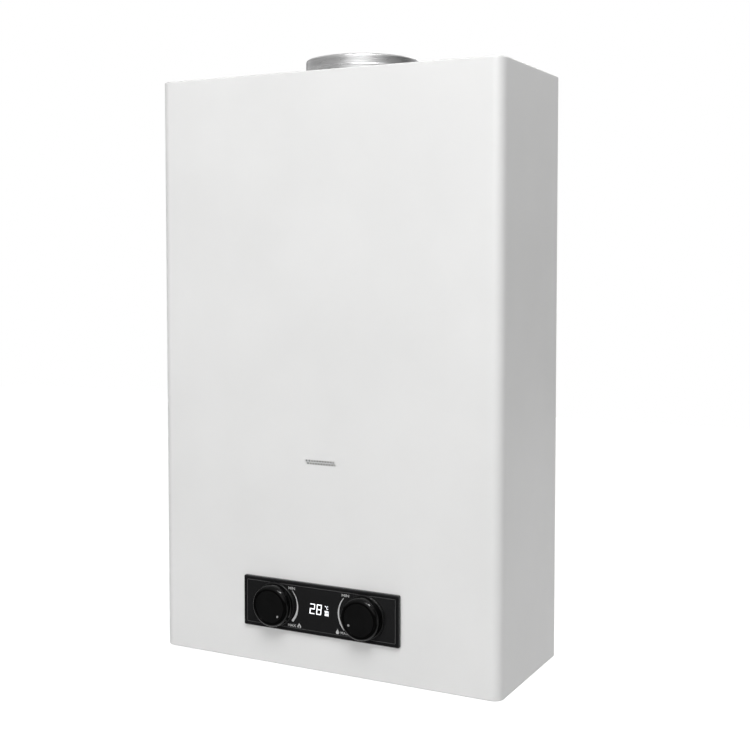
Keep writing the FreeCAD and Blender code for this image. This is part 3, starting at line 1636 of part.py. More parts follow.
def screws():
    """The screws of the cover and the bottom bracket, and the screw heads on the diaphragm housing."""
    group = []
    for x in cover_screw_places():
        seat = vec(x, -cover_screw_depth, case_bottom - seat_gap)
        group.append(machine_screw(seat, Z_AXIS, cover_screw_length))
    rear = -plate_sheet - seat_gap
    for x, level in bracket_screw_places():
        seat = vec(x, rear - bracket_sheet - seat_gap, level)
        group.append(machine_screw(seat, Y_AXIS, -seat.y - seat_gap))
    for seat in housing_screw_places(cover_flange_left - seat_gap):
        group.append(hexagon(screw_head_width, seat - X_AXIS * screw_head_height, seat))
    return Part.makeCompound(group)


os.makedirs("parts", exist_ok=True)
keep("front_cover", front_cover())
keep("back_plate", back_plate())
keep("bottom_bracket", bottom_bracket())
keep("flue_hood", flue_hood())
keep("hood_baffle", hood_baffle())
keep("flue_collar", flue_collar())
keep("combustion_chamber", combustion_chamber())
keep("chamber_brackets", chamber_brackets())
keep("exchanger_fins", exchanger_fins())
keep("exchanger_tubes", exchanger_tubes())
keep("exchanger_caps", exchanger_caps())
keep("feed_pipe", feed_pipe())
keep("hot_pipe", hot_pipe())
keep("pipe_unions", pipe_unions())
keep("burner_bars", burner_bars())
keep("burner_frame", burner_frame())
keep("gas_manifold", gas_manifold())
keep("injectors", injectors())
keep("ignition_electrode", electrode(-1, igniter_depth))
keep("flame_sensor", electrode(1, sensor_depth))
keep("gas_valve_body", gas_valve_body())
keep("gas_solenoid", gas_solenoid())
keep("gas_spindle", spindle(gas_x))
keep("gas_knob", knob(gas_x, gas_rest_angle))
keep("water_valve_body", water_valve_body())
keep("water_spindle", spindle(water_x))
keep("water_knob", knob(water_x, -water_rest_angle))
keep("diaphragm_cover", diaphragm_cover())
keep("diaphragm", diaphragm())
keep("pushrod", pushrod())
keep("return_spring", return_spring())
keep("microswitch", microswitch())
keep("switch_lever", switch_lever())
keep("drain_plug", drain_plug())
keep("inlet_filter", inlet_filter())
keep("gas_inlet", threaded_fitting(gas_x, valve_bottom - seat_gap))
keep("cold_inlet", threaded_fitting(cold_inlet_x, valve_bottom - seat_gap))
keep("hot_outlet", threaded_fitting(hot_outlet_x, hot_fitting_top()))
keep("lock_nuts", lock_nuts())
keep("panel_frame", panel_frame())
keep("panel_face", panel_face())
keep("display_module", display_module())
keep("display_board", display_board())
keep("battery_box", battery_box())
keep("battery_lid", battery_lid())
keep("lid_pin", lid_pin())
keep("batteries", batteries())
keep("battery_contact", battery_contact())
keep("lid_contact", lid_contact())
keep("control_box", control_box())
keep("control_lid", control_lid())
keep("ignition_lead", ignition_lead())
keep("sensor_lead", sensor_lead())
keep("wiring_harness", wiring_harness())
keep("overheat_thermostat", overheat_thermostat())
keep("draught_sensor", draught_sensor())
keep("outlet_sensor", outlet_sensor())
keep("screws", screws())
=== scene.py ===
import math

import bpy
import numpy as np
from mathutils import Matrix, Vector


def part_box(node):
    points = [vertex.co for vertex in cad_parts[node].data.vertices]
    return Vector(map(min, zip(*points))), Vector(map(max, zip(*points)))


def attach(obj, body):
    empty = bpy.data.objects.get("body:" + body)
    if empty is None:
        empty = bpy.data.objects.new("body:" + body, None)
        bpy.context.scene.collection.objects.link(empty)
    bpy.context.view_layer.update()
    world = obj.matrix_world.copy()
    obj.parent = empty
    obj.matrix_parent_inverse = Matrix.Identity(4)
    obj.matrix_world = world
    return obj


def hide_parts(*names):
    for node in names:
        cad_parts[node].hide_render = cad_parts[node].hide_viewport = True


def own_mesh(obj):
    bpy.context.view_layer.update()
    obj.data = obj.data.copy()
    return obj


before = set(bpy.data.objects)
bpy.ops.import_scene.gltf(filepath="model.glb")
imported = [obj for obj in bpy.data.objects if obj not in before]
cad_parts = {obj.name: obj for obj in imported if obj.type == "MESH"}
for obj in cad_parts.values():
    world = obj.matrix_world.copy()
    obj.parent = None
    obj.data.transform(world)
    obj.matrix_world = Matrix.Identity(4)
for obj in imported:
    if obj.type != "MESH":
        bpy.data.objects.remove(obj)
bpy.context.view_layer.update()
mm = 0.001


# The heater is seen from its right at about chest height, through a long lens. The camera is
# close to level, so the upright edges stay nearly parallel and the picture is shifted down.
picture_side, focal_pixels, horizon_row = 750, 1223.0, 322.0
look_down, look_left = 2.95, 27.33
camera = bpy.data.objects.new("camera", bpy.data.cameras.new("camera"))
bpy.context.collection.objects.link(camera)
camera.location = (0.5484, -1.0936, -0.1236)
camera.rotation_euler = (math.radians(90 - look_down), 0, math.radians(look_left))
camera.data.sensor_width = 36
camera.data.lens = focal_pixels * camera.data.sensor_width / picture_side
camera.data.shift_y = (horizon_row - picture_side / 2) / picture_side
camera.data.clip_start = 0.05
bpy.context.scene.camera = camera
bpy.context.scene.view_settings.view_transform = "Standard"


# It hangs as if on its wall, a metre over a pale studio floor. The surroundings are white to
# the camera and in reflections, and a soft even light to everything else. The floor glows more
# with the distance, so that it fades into the white.
room_strength, white_strength = 0.215, 1.0
floor_level, floor_reach, floor_tone = -1.5, 9.0, 0.62
glow_starts, glow_ends, near_glow, far_glow = 2.0, 4.5, 0.62, 0.92


def open_nodes(owner, bare=True):
    """Turn on the nodes of a world or a material, and empty them if bare."""
    owner.use_nodes = True
    if bare:
        owner.node_tree.nodes.clear()
    return owner.node_tree.nodes, owner.node_tree.links


def set_inputs(node, values):
    """Set constants on a node's own sockets, by the sockets' names."""
    for socket, value in values.items():
        node.inputs[socket].default_value = value


def between(nodes, links, value, low, high, start=0.3, end=0.7):
    """A number that goes from low to high as value goes from start to end."""
    span = nodes.new("ShaderNodeMapRange")
    set_inputs(span, {"From Min": start, "From Max": end, "To Min": low, "To Max": high})
    links.new(value, span.inputs["Value"])
    return span.outputs["Result"]


def greater(nodes, links, one, other):
    """The greater of two numbers."""
    most = nodes.new("ShaderNodeMath")
    most.operation = "MAXIMUM"
    links.new(one, most.inputs[0])
    links.new(other, most.inputs[1])
    return most.outputs[0]


def seen_or_mirrored(nodes, links):
    """1 for rays from the camera and for mirrored or transmitted ones, 0 for the rest."""
    ray = nodes.new("ShaderNodeLightPath").outputs
    either = greater(nodes, links, ray["Is Camera Ray"], ray["Is Glossy Ray"])
    return greater(nodes, links, either, ray["Is Transmission Ray"])


def white_light(nodes, strength):
    """An even white background."""
    light = nodes.new("ShaderNodeBackground")
    set_inputs(light, {"Color": (1, 1, 1, 1), "Strength": strength})
    return light.outputs[0]


def flat_sheet(name, corners):
    """A flat sheet of the studio with an empty material of its own."""
    mesh = bpy.data.meshes.new(name)
    mesh.from_pydata(corners, [], [(0, 1, 2, 3)])
    sheet = bpy.data.objects.new(name, mesh)
    bpy.context.collection.objects.link(sheet)
    mesh.materials.append(bpy.data.materials.new(name))
    return sheet, *open_nodes(mesh.materials[0])


surroundings = bpy.data.worlds.new("surroundings")
bpy.context.scene.world = surroundings
nodes, links = open_nodes(surroundings)
room_light = white_light(nodes, room_strength)
white_view = white_light(nodes, white_strength)
choice = nodes.new("ShaderNodeMixShader")
world_end = nodes.new("ShaderNodeOutputWorld")
links.new(seen_or_mirrored(nodes, links), choice.inputs[0])
links.new(room_light, choice.inputs[1])
links.new(white_view, choice.inputs[2])
links.new(choice.outputs[0], world_end.inputs[0])

floor, nodes, links = flat_sheet("floor", [(side * floor_reach, end * floor_reach, floor_level)
                                           for side, end in ((-1, -1), (1, -1), (1, 1), (-1, 1))])
chalk = nodes.new("ShaderNodeBsdfDiffuse")
set_inputs(chalk, {"Color": (floor_tone, floor_tone, floor_tone, 1)})
away = nodes.new("ShaderNodeVectorMath")
away.operation = "LENGTH"
links.new(nodes.new("ShaderNodeTexCoord").outputs["Object"], away.inputs[0])
paler = between(nodes, links, away.outputs["Value"], near_glow, far_glow, glow_starts, glow_ends)
level = nodes.new("ShaderNodeMath")
level.operation = "MULTIPLY"
links.new(paler, level.inputs[0])
links.new(seen_or_mirrored(nodes, links), level.inputs[1])
glow = nodes.new("ShaderNodeEmission")
links.new(level.outputs[0], glow.inputs["Strength"])
both = nodes.new("ShaderNodeAddShader")
floor_end = nodes.new("ShaderNodeOutputMaterial")
links.new(chalk.outputs[0], both.inputs[0])
links.new(glow.outputs[0], both.inputs[1])
links.new(both.outputs[0], floor_end.inputs[0])


# Four soft lamps: a large key high at the right front, a wide weak one in front a little to the
# left, a small one high behind at the right, and one for the back of the case. Only mirror-like
# surfaces see the cards: grey ones round the heater, and two bright ones for its highlights.
def soft_lamp(name, place, towards, width, power):
    """A square lamp at place that faces the point towards."""
    lamp = bpy.data.objects.new(name, bpy.data.lights.new(name, "AREA"))
    lamp.data.shape = "RECTANGLE"
    lamp.data.size = lamp.data.size_y = width
    lamp.data.energy = power
    bpy.context.collection.objects.link(lamp)
    lamp.location = place
    way = np.subtract(towards, place)
    flat = math.hypot(way[0], way[1])
    lamp.rotation_euler = (math.pi / 2 + math.atan2(way[2], flat), 0, math.atan2(-way[0], way[1]))
    return lamp


key_lamp = soft_lamp("key_lamp", (0.74, -1.65, 1.73), (0, -0.07, -0.2), 1.35, 44)
rim_lamp = soft_lamp("rim_lamp", (0.98, 1.72, 1.7), (0, -0.1, -0.2), 0.9, 31)
soft_lamp("rear_lamp", (-1.2, 2.6, 1.1), (0, 0, -0.2), 1.6, 42)
fill_lamp = soft_lamp("fill_lamp", (-0.45, -2.95, 0.1), (0, -0.1, -0.25), 2.4, 31)
fill_lamp.visible_glossy = key_lamp.visible_glossy = rim_lamp.visible_glossy = False


def mirror_card(name, tone, corners):
    """A card of an even tone that only mirror-like surfaces see."""
    card, nodes, links = flat_sheet(name, corners)
    even = nodes.new("ShaderNodeEmission")
    set_inputs(even, {"Strength": tone})
    links.new(even.outputs[0], nodes.new("ShaderNodeOutputMaterial").inputs[0])
    card.visible_camera = False
    card.visible_diffuse = False
    card.visible_shadow = False
    card.visible_transmission = False


card_distance, card_floor, card_ceiling = 2.4, -1.45, 2.6
wall_cards = (  # name, tone, first and last bearing in degrees from the front, lower and upper edge
    ("low_left_card", 0.05, -95, -45, card_floor, -0.1), ("low_front_card", 0.05, -45, 5, card_floor, -0.1),
    ("low_right_card", 0.05, 5, 60, card_floor, -0.1), ("left_rear_card", 0.24, -165, -118, -0.3, 1.5),
    ("left_edge_card", 0.8, -118, -105, -0.1, 1.5), ("left_card", 0.43, -105, -60, -0.1, 1.5),
    ("left_front_card", 0.46, -60, -13, -0.1, 1.5), ("left_inner_card", 0.75, -13, -1, -0.1, 1.5),
    ("front_card", 1.25, -1, 36, -0.1, 1.5), ("right_inner_card", 0.75, 36, 48, -0.1, 1.5),
    ("right_front_card", 0.36, 48, 70, -0.1, 1.5), ("right_card", 0.2, 70, 95, -0.4, 1.5),
    ("right_rear_card", 0.11, 95, 135, -0.6, 1.5), ("rear_card", 0.42, 135, 168, -0.6, 1.5))
for name, tone, first, last, low, high in wall_cards:
    a, b = [(card_distance * math.sin(math.radians(turn)), -card_distance * math.cos(math.radians(turn)))
            for turn in (first, last)]
    mirror_card(name, tone, [(*a, low), (*b, low), (*b, high), (*a, high)])
mirror_card("floor_card", 0.05, [(-2.2, -2.2, card_floor), (2.2, -2.2, card_floor),
                                 (2.2, -0.5, card_floor), (-2.2, -0.5, card_floor)])
mirror_card("ceiling_card", 0.55, [(-2.5, -2.5, card_ceiling), (-2.5, 2.5, card_ceiling),
                                   (2.5, 2.5, card_ceiling), (2.5, -2.5, card_ceiling)])
mirror_card("strip_card", 12.0, [(0.168, -1.485, 0.959), (0.724, -1.261, 0.959),
                                 (0.552, -0.835, 1.281), (-0.004, -1.059, 1.281)])
mirror_card("spot_card", 210.0, [(0.663, -0.973, 1.123), (0.777, -0.859, 1.123),
                                 (0.669, -0.751, 1.219), (0.555, -0.865, 1.219)])


# The cover is one drawn and folded steel sheet, white powder-coated: front, two sides, a top
# with the notch for the flue and a strip underneath. It slides over the back plate's rims.
case_half, case_front, case_rear = 175.0, -140.0, -1.5
case_bottom, case_top = -500.0, 45.0
corner_radius, fold_radius, flange_depth, sheet_thickness = 10.0, 1.5, 8.0, 0.8
panel_level, cutout_half, cutout_tall = -442.5, 77.3, 19.8
sight_level, hole_pitch, hole_radius, row_rise = -308.0, 2.8, 1.05, 2.4
holes_in_row, hole_sides = 11, 16
flue_place, notch_radius = -57.0, 56.5
opening_half, opening_front, opening_corner = 162.0, -104.0, 8.0
front_step, side_step, level_step, edge_band = 22.0, 16.0, 30.0, 0.4
corner_points, fold_points = 15, 8
coat_roughness, crisp_turn = 0.08, 30


def spread(stops, step):
    """Places from stop to stop in equal parts no longer than step, every stop kept."""
    parts = [np.linspace(a, b, max(1, math.ceil(abs(b - a) / step)) + 1)[:-1]
             for a, b in zip(stops[:-1], stops[1:])]
    return np.concatenate(parts + [np.array(stops[-1:])])


def round_angles(count):
    """The angles of a full circle in equal steps."""
    return np.arange(count) * 2 * math.pi / count


def finish_mesh(name, points, faces, sharp=None):
    """Put points in millimetres and lists of corner numbers into a smooth-shaded mesh object;
    edges that turn by more than sharp degrees stay crisp."""
    mesh = bpy.data.meshes.new(name)
    mesh.from_pydata((np.asarray(points, float).reshape(-1, 3) * mm).tolist(), [],
                     [corners for group in faces for corners in np.asarray(group).tolist()])
    mesh.polygons.foreach_set("use_smooth", np.ones(len(mesh.polygons), bool))
    if sharp is not None:
        mesh.set_sharp_from_angle(angle=math.radians(sharp))
    mesh.update()
    piece = bpy.data.objects.new(name, mesh)
    bpy.context.collection.objects.link(piece)
    return piece


def grid_quads(rows, columns, round_rows=False, round_columns=False, turned=False):
    """Corner numbers of the quads of a grid of points, closed along either way if asked.
    Each quad runs along the columns first; turned gives the other side outwards."""
    i = np.arange(rows if round_rows else rows - 1)[:, None]
    j = np.arange(columns if round_columns else columns - 1)[None, :]
    i2, j2 = (i + 1) % rows, (j + 1) % columns
    quads = np.stack([i * columns + j, i * columns + j2, i2 * columns + j2, i2 * columns + j], -1)
    quads = quads.reshape(-1, 4)
    return quads[:, ::-1] if turned else quads


def case_outline(side_y, front_x, arc):
    """The cover seen from above, from its right rear edge round the front to its left rear
    edge: a straight side, a quarter circle, the straight front and the same mirrored. Gives
    each point and its outward direction."""
    mirrored = (-1, 1)
    centre = (case_half - corner_radius, case_front + corner_radius)
    arc_way = np.stack([np.cos(arc), np.sin(arc)], -1)
    side_way = np.tile([1.0, 0.0], (len(side_y), 1))
    front_way = np.tile([0.0, -1.0], (len(front_x), 1))
    corner = centre + corner_radius * arc_way
    side = np.insert(side_y[:, None], 0, case_half, axis=1)
    front = np.insert(front_x[:, None], 1, case_front, axis=1)
    place = [side, corner, front, corner[::-1] * mirrored, side[::-1] * mirrored]
    outward = [side_way, arc_way, front_way, arc_way[::-1] * mirrored, side_way * mirrored]
    return np.concatenate(place), np.concatenate(outward)


def opening_row(outline, outward):
    """The edge of the opening underneath: the outline with its straight runs cut down to the
    opening's, and its corners turned at the opening's own radius."""
    corner_x, corner_y = case_half - corner_radius, case_front + corner_radius
    opening_x, opening_y = opening_half - opening_corner, opening_front + opening_corner
    share = (opening_y - case_rear) / (corner_y - case_rear)
    x = np.clip(outline[:, 0], -corner_x, corner_x) * opening_x / corner_x
    y = case_rear + (np.maximum(outline[:, 1], corner_y) - case_rear) * share
    row = np.full((1, len(outline), 3), case_bottom)
    row[0, :, :2] = np.stack([x, y], -1) + opening_corner * outward
    return row


def notch_rows(rim):
    """Two rows that lead from the top's rim, given as (x, y), in to the notch: a half circle
    round the flue in front, and two straight edges beside and behind it."""
    turn = np.arctan2(rim[:, 1] - flue_place, rim[:, 0])
    straight = np.stack([np.sign(rim[:, 0]) * notch_radius, rim[:, 1]], -1)
    circle = np.stack([np.cos(turn), np.sin(turn)], -1) * notch_radius + (0, flue_place)
    notch = np.where((rim[:, 1] > flue_place)[:, None], straight, circle)
    rows = np.full((2, len(rim), 3), case_top)
    rows[..., :2] = rim + np.array([0.5, 1.0])[:, None, None] * (notch - rim)
    return rows


def cover_points():
    """The cover's outer face as a grid: its columns follow the outline round the case, and its
    rows run from the bottom opening over the lower fold, up the walls, over the upper fold and
    in to the notch. A row at inset d is the outline moved inwards by d."""
    column_x = hole_pitch / 2 * (np.arange(-holes_in_row - 1, holes_in_row + 1) + 0.5)
    front_edge = case_half - corner_radius
    front_x = spread([front_edge, front_edge - edge_band, cutout_half, *column_x[::-1], -cutout_half,
                      edge_band - front_edge, -front_edge], front_step)[1:-1]
    side_y = spread([case_rear, case_front + corner_radius + edge_band], side_step)
    outline, outward = case_outline(side_y, front_x, np.radians(np.linspace(0, -90, corner_points)))
    fold = np.radians(np.linspace(0, 90, fold_points))
    falling, rising = fold_radius * (1 - np.sin(fold)), fold_radius * (1 - np.cos(fold))
    flange = [flange_depth, fold_radius + edge_band]
    level = spread([case_bottom + fold_radius + edge_band, panel_level - cutout_tall,
                    panel_level + cutout_tall, sight_level - row_rise, sight_level,
                    sight_level + row_rise, case_top - fold_radius - edge_band], level_step)
    inset = np.concatenate([flange, falling, 0 * level, rising, flange[::-1]])
    height = np.concatenate([[case_bottom] * 2, case_bottom + rising, level, case_top - falling,
                             [case_top] * 2])
    wall = np.empty((len(inset), len(outline), 3))
    wall[..., :2] = outline - inset[:, None, None] * outward
    wall[..., 2] = height[:, None]
    return np.concatenate([opening_row(outline, outward), wall, notch_rows(wall[-1, :, :2])])


def hole_rings(points, hole_x, hole_z):
    """A ring of points for each sight hole, and the triangles between it and the six grid
    points round the hole: one from each side of the ring to its nearest grid point, and one
    wherever the nearest grid point changes."""
    rows, columns = points.shape[:2]
    column = abs(points[rows // 2, :, 0] - hole_x[:, None]).argmin(1)
    row = abs(points[:, columns // 2, 2] - (hole_z - row_rise / 2)[:, None]).argmin(1)
    steps = np.array([[0, 1], [0, 0], [0, -1], [1, -1], [1, 0], [1, 1]])
    border = (row[:, None] + steps[:, 0]) * columns + column[:, None] + steps[:, 1]
    border_turn = np.arctan2(row_rise * (steps[:, 0] - 0.5), -hole_pitch / 2 * steps[:, 1])
    ring_turn = round_angles(hole_sides)
    middles = ring_turn + math.pi / hole_sides
    gap = abs((middles[:, None] - border_turn + math.pi) % (2 * math.pi) - math.pi)
    nearest = gap.argmin(1)
    ring = np.stack([hole_x[:, None] + hole_radius * np.cos(ring_turn),
                     np.full((len(hole_x), hole_sides), case_front),
                     hole_z[:, None] + hole_radius * np.sin(ring_turn)], -1)
    number = rows * columns + np.arange(len(hole_x))[:, None] * hole_sides
    here = np.arange(hole_sides)
    after = (here + 1) % hole_sides
    change = here[nearest != nearest[after]]
    fans = np.stack([number + here, border[:, nearest], number + after], -1)
    fills = np.stack([number + after[change], border[:, nearest[change]],
                      border[:, nearest[after[change]]]], -1)
    return ring.reshape(-1, 3), [fans.reshape(-1, 3), fills.reshape(-1, 3)]


def sheet_cover():
    """The grid's quads without those over the panel's cut-out, and with each sight hole's
    ring of triangles in place of the two quads under it."""
    points = cover_points()
    flat = points.reshape(-1, 3)
    quads = grid_quads(*points.shape[:2], turned=True)
    middle = flat[quads].mean(1)
    on_front = middle[:, 1] < case_front + edge_band / 4
    over_panel = (on_front & (abs(middle[:, 0]) < cutout_half)
                  & (abs(middle[:, 2] - panel_level) < cutout_tall))
    rank = np.arange(holes_in_row) - (holes_in_row - 1) / 2
    hole_x = np.concatenate([rank * hole_pitch + hole_pitch / 4, rank * hole_pitch - hole_pitch / 4])
    hole_z = sight_level + row_rise / 2 * np.repeat([-1.0, 1.0], holes_in_row)
    beside = abs(middle[:, None, 0] - hole_x) < hole_pitch / 2
    over_hole = on_front & (beside & (abs(middle[:, None, 2] - hole_z) < row_rise / 2)).any(1)
    rings, triangles = hole_rings(points, hole_x, hole_z)
    faces = [quads[~(over_panel | over_hole)], *triangles]
    return finish_mesh("case_cover", np.concatenate([flat, rings]), faces)


def noise(nodes, links, where, scale, detail=3.0):
    """Soft noise over a piece's own coordinates."""
    grain = nodes.new("ShaderNodeTexNoise")
    set_inputs(grain, {"Scale": scale, "Detail": detail})
    links.new(where, grain.inputs["Vector"])
    return grain.outputs["Fac"]


def surface(name, tones, roughness, patch, grain, relief, stretch=(1, 1, 1), metal=0.0, gloss_coat=0.0,
            cells=False, shine=0.5):
    """A material whose colour drifts between two tones in patches, and whose roughness and
    hair-fine relief follow a grain. patch, grain and relief are sizes in millimetres; stretch
    makes the grain longer along an axis, as brushing and drawing do; cells gives crystals with
    sharp borders in place of soft patches."""
    material = bpy.data.materials.new(name)
    nodes, links = open_nodes(material, False)
    shader = nodes["Principled BSDF"]
    set_inputs(shader, {"Metallic": metal, "Specular IOR Level": shine, "Coat Weight": gloss_coat,
                        "Coat Roughness": coat_roughness})
    place = nodes.new("ShaderNodeTexCoord").outputs["Object"]
    drawn = nodes.new("ShaderNodeMapping")
    set_inputs(drawn, {"Scale": [1 / s for s in stretch]})
    links.new(place, drawn.inputs["Vector"])
    if cells:
        crystals = nodes.new("ShaderNodeTexVoronoi")
        set_inputs(crystals, {"Scale": 1 / (patch * mm)})
        links.new(place, crystals.inputs["Vector"])
        split = nodes.new("ShaderNodeSeparateColor")
        links.new(crystals.outputs["Color"], split.inputs["Color"])
        drift = between(nodes, links, split.outputs[0], 0, 1, 0, 1)
    else:
        drift = between(nodes, links, noise(nodes, links, drawn.outputs["Vector"], 1 / (patch * mm)), 0, 1)
    mix = nodes.new("ShaderNodeMix")
    mix.data_type = "RGBA"
    set_inputs(mix, {"A": (*tones[0], 1), "B": (*tones[1], 1)})
    links.new(drift, mix.inputs["Factor"])
    links.new(mix.outputs["Result"], shader.inputs["Base Color"])
    fine = noise(nodes, links, drawn.outputs["Vector"], 1 / (grain * mm), 4.0)
    links.new(between(nodes, links, fine, *roughness), shader.inputs["Roughness"])
    bump = nodes.new("ShaderNodeBump")
    set_inputs(bump, {"Distance": relief * mm})
    links.new(fine, bump.inputs["Height"])
    links.new(bump.outputs["Normal"], shader.inputs["Normal"])
    return material


def clothe(piece, material, body, slot, *nodes):
    """Give a piece its material, the body it rides on and the nodes that it stands for.
    slot, the finish's slot, is not used."""
    piece.data.materials.clear()
    piece.data.materials.append(material)
    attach(piece, body)
    if nodes:
        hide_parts(*nodes)


white_coat = surface("white_powder_coat", ((0.8, 0.8, 0.795), (0.83, 0.83, 0.825)), (0.36, 0.44),
                     patch=90, grain=1.1, relief=0.012)
cover = sheet_cover()
thickness = cover.modifiers.new("sheet", "SOLIDIFY")
thickness.thickness = sheet_thickness * mm
thickness.offset = -1
bpy.context.view_layer.update()
both_sides = bpy.data.meshes.new_from_object(cover.evaluated_get(bpy.context.evaluated_depsgraph_get()))
cover.modifiers.clear()
cover.data = both_sides
both_sides.name = "case_cover"
both_sides.set_sharp_from_angle(angle=math.radians(crisp_turn))
clothe(cover, white_coat, "heater", "case_paint", "front_cover")


# The flue spigot is stainless sheet, spun to a ring and brushed round: a step where it stands
# on the case, a straight wall with a bead for the flue pipe, and a top edge rolled inwards.
flue_radius, flue_bore, foot_bore = 54.0, 53.0, 52.0
foot_level, step_level, bead_level, flue_top = 40.2, 45.6, 53.5, 63.0
bead_radius, roll_radius, hem_radius = 1.1, 1.9, 1.0


def turned_piece(name, profile, sides, centre, axis="z", sharp=35):
    """Carry a closed profile of (radius, height) round an axis through centre. Along z the
    heights are levels; along y they are depths and the circle stands upright."""
    radius, height = np.asarray(profile, float).T[..., None]
    angle = round_angles(sides)
    across, other = centre[0] + radius * np.cos(angle), centre[1] + radius * np.sin(angle)
    along = height + 0 * angle
    points = np.stack([across, other, along] if axis == "z" else [across, along, other], -1)
    area = np.sum(radius * np.roll(height, -1, 0) - np.roll(radius, -1, 0) * height)
    turned = (area < 0) != (axis == "y")
    return finish_mesh(name, points, [grid_quads(len(profile), sides, True, True, turned)], sharp)


def bend(centre, radius, start, end, count):
    """Points of an arc in a profile, angles in degrees."""
    angle = np.radians(np.linspace(start, end, count))
    return np.stack([centre[0] + radius * np.cos(angle), centre[1] + radius * np.sin(angle)], -1)


collar_profile = np.concatenate([
    [(flue_bore, foot_level), (flue_bore, 44.8), (53.3, 45.2), (53.7, 45.3), (flue_radius, step_level),
     (flue_radius, 46.4), (flue_radius, 52.0)],
    bend((53.3, bead_level), bead_radius, -50, 50, 9), [(flue_radius, 55.0), (flue_radius, 58.2)],
    bend((flue_radius - roll_radius, flue_top - roll_radius), roll_radius, 0, 90, 10),
    bend((51.9, flue_top - hem_radius), hem_radius, 90, 250, 10),
    [(52.6, 60.6), (flue_bore, 59.4), (flue_bore, 46.6), (52.4, 46.2), (foot_bore, step_level),
     (foot_bore, foot_level)]])
flue_ring = turned_piece("flue_ring", collar_profile, 144, (0, flue_place))
brushed_flue = surface("brushed_flue_steel", ((0.56, 0.56, 0.565), (0.7, 0.7, 0.7)), (0.24, 0.42),
                       patch=3, grain=0.9, relief=0.02, stretch=(16, 16, 0.6), metal=1.0)
clothe(flue_ring, brushed_flue, "heater", "flue_steel", "flue_collar")


# The control panel is a gloss black moulding: a frame that stands a few millimetres out of the
# case with rounded edges, and a flat face that sits in its rim with the scales printed on it.
panel_half, panel_tall, panel_corner = 81.0, 23.5, 1.6
face_half, face_tall, face_corner = 77.8, 20.3, 1.0
frame_front, face_front, rim_floor = -143.5, -143.2, -141.6
frame_seat, frame_rear = -140.2, -131.0


def rounded_rectangle(half, tall, radius, inset, per_corner=8):
    """Points round a rectangle with rounded corners, counterclockwise seen from the front,
    all moved inwards by inset; the corner's radius shrinks by as much but stays above zero."""
    radius = max(radius - inset, 0.15)
    angle = np.radians(np.linspace(0, 90, per_corner))
    corners = [(1, 1, 0), (-1, 1, 90), (-1, -1, 180), (1, -1, 270)]
    rings = [np.stack([sx * (half - inset - radius) + radius * np.cos(angle + math.radians(turn)),
                       sz * (tall - inset - radius) + radius * np.sin(angle + math.radians(turn))], -1)
             for sx, sz, turn in corners]
    return np.concatenate(rings)


def framed_piece(name, half, tall, radius, profile, closed=True, sharp=40):
    """Carry a profile of (inset, depth) round a rounded rectangle on the panel. A closed
    profile makes a ring; an open one is capped with its first and its last loop."""
    loops = [rounded_rectangle(half, tall, radius, inset) for inset, depth in profile]
    points = np.array([np.stack([loop[:, 0], 0 * loop[:, 0] + depth, loop[:, 1] + panel_level], -1)
                       for loop, (inset, depth) in zip(loops, profile)])
    rows, columns = points.shape[:2]
    faces = [grid_quads(rows, columns, closed, True)]
    if not closed:
        faces += [np.arange((rows - 1) * columns, rows * columns)[None], np.arange(columns)[::-1][None]]
    return finish_mesh(name, points, faces, sharp)


frame_profile = np.concatenate([
    [(0, frame_seat), (0, -142.0)], bend((1.3, -142.2), 1.3, 180, 270, 8),
    [(1.5, frame_front), (2.7, frame_front)], bend((2.7, face_front), 0.3, 270, 360, 5),
    [(3.0, rim_floor), (5.6, rim_floor), (5.6, frame_rear), (4.0, frame_rear), (4.0, frame_seat)]])
panel_rim = framed_piece("panel_rim", panel_half, panel_tall, panel_corner, frame_profile)
gloss_black = surface("gloss_black", ((0.008, 0.008, 0.0085), (0.01, 0.01, 0.0105)), (0.1, 0.15),
                      patch=30, grain=2.0, relief=0.002)
clothe(panel_rim, gloss_black, "heater", "panel_gloss", "panel_frame")

face_profile = [(0, -142.0), (0, -143.05), (0.1, -143.17), (0.25, face_front)]
panel_plate = framed_piece("panel_plate", face_half, face_tall, face_corner, face_profile, False)
smoked_black = surface("smoked_black", ((0.011, 0.011, 0.0115), (0.013, 0.013, 0.0135)), (0.14, 0.2),
                       patch=40, grain=1.5, relief=0.002)
clothe(panel_plate, smoked_black, "heater", "panel_gloss", "panel_face")


# Pale marks are printed on the face: one scale beside each knob that widens towards the most,
# the words at the scales' ends, a flame and a drop. The thin grey line round its border is a
# painted highlight, standing for the light caught by the face's bevelled edge.
mark_front = face_front - 0.03
letter_tall, letter_weight = 2.4, 0.012
line_inset, line_width = 0.28, 0.44


def flat_strip(name, inner, outer, closed=False):
    """A flat strip between two lines of (x, z) points of the same length, turned so that it faces
    the front. It draws the printed marks, the lit signs and the painted highlight round the face's border."""
    points = np.insert(np.stack([inner, outer]), 1, mark_front, axis=2)
    piece = finish_mesh(name, points, [grid_quads(2, len(inner), False, closed)])
    normals = np.empty(len(piece.data.polygons) * 3)
    piece.data.polygons.foreach_get("normal", normals)
    if normals[1::3].sum() > 0:
        piece.data.flip_normals()
    return piece


def mark_tone(name, tone):
    """A tone with fine mottling, for printed ink and for the painted highlight round the face's border."""
    tones = ((tone, tone, tone), (tone * 0.86, tone * 0.86, tone * 0.86))
    return surface(name, tones, (0.45, 0.6), patch=1.5, grain=0.3, relief=0.002)


# The grey tone is not ink: it paints the highlight of the face's bevelled edge.
pale_ink, dot_ink, painted_edge_highlight = mark_tone("pale_ink", 0.56), mark_tone("dot_ink", 0.3), mark_tone("painted_edge_highlight", 0.075)
line_outer, line_inner = [rounded_rectangle(face_half, face_tall, face_corner, inset) + (0, panel_level)
                          for inset in (line_inset, line_inset + line_width)]
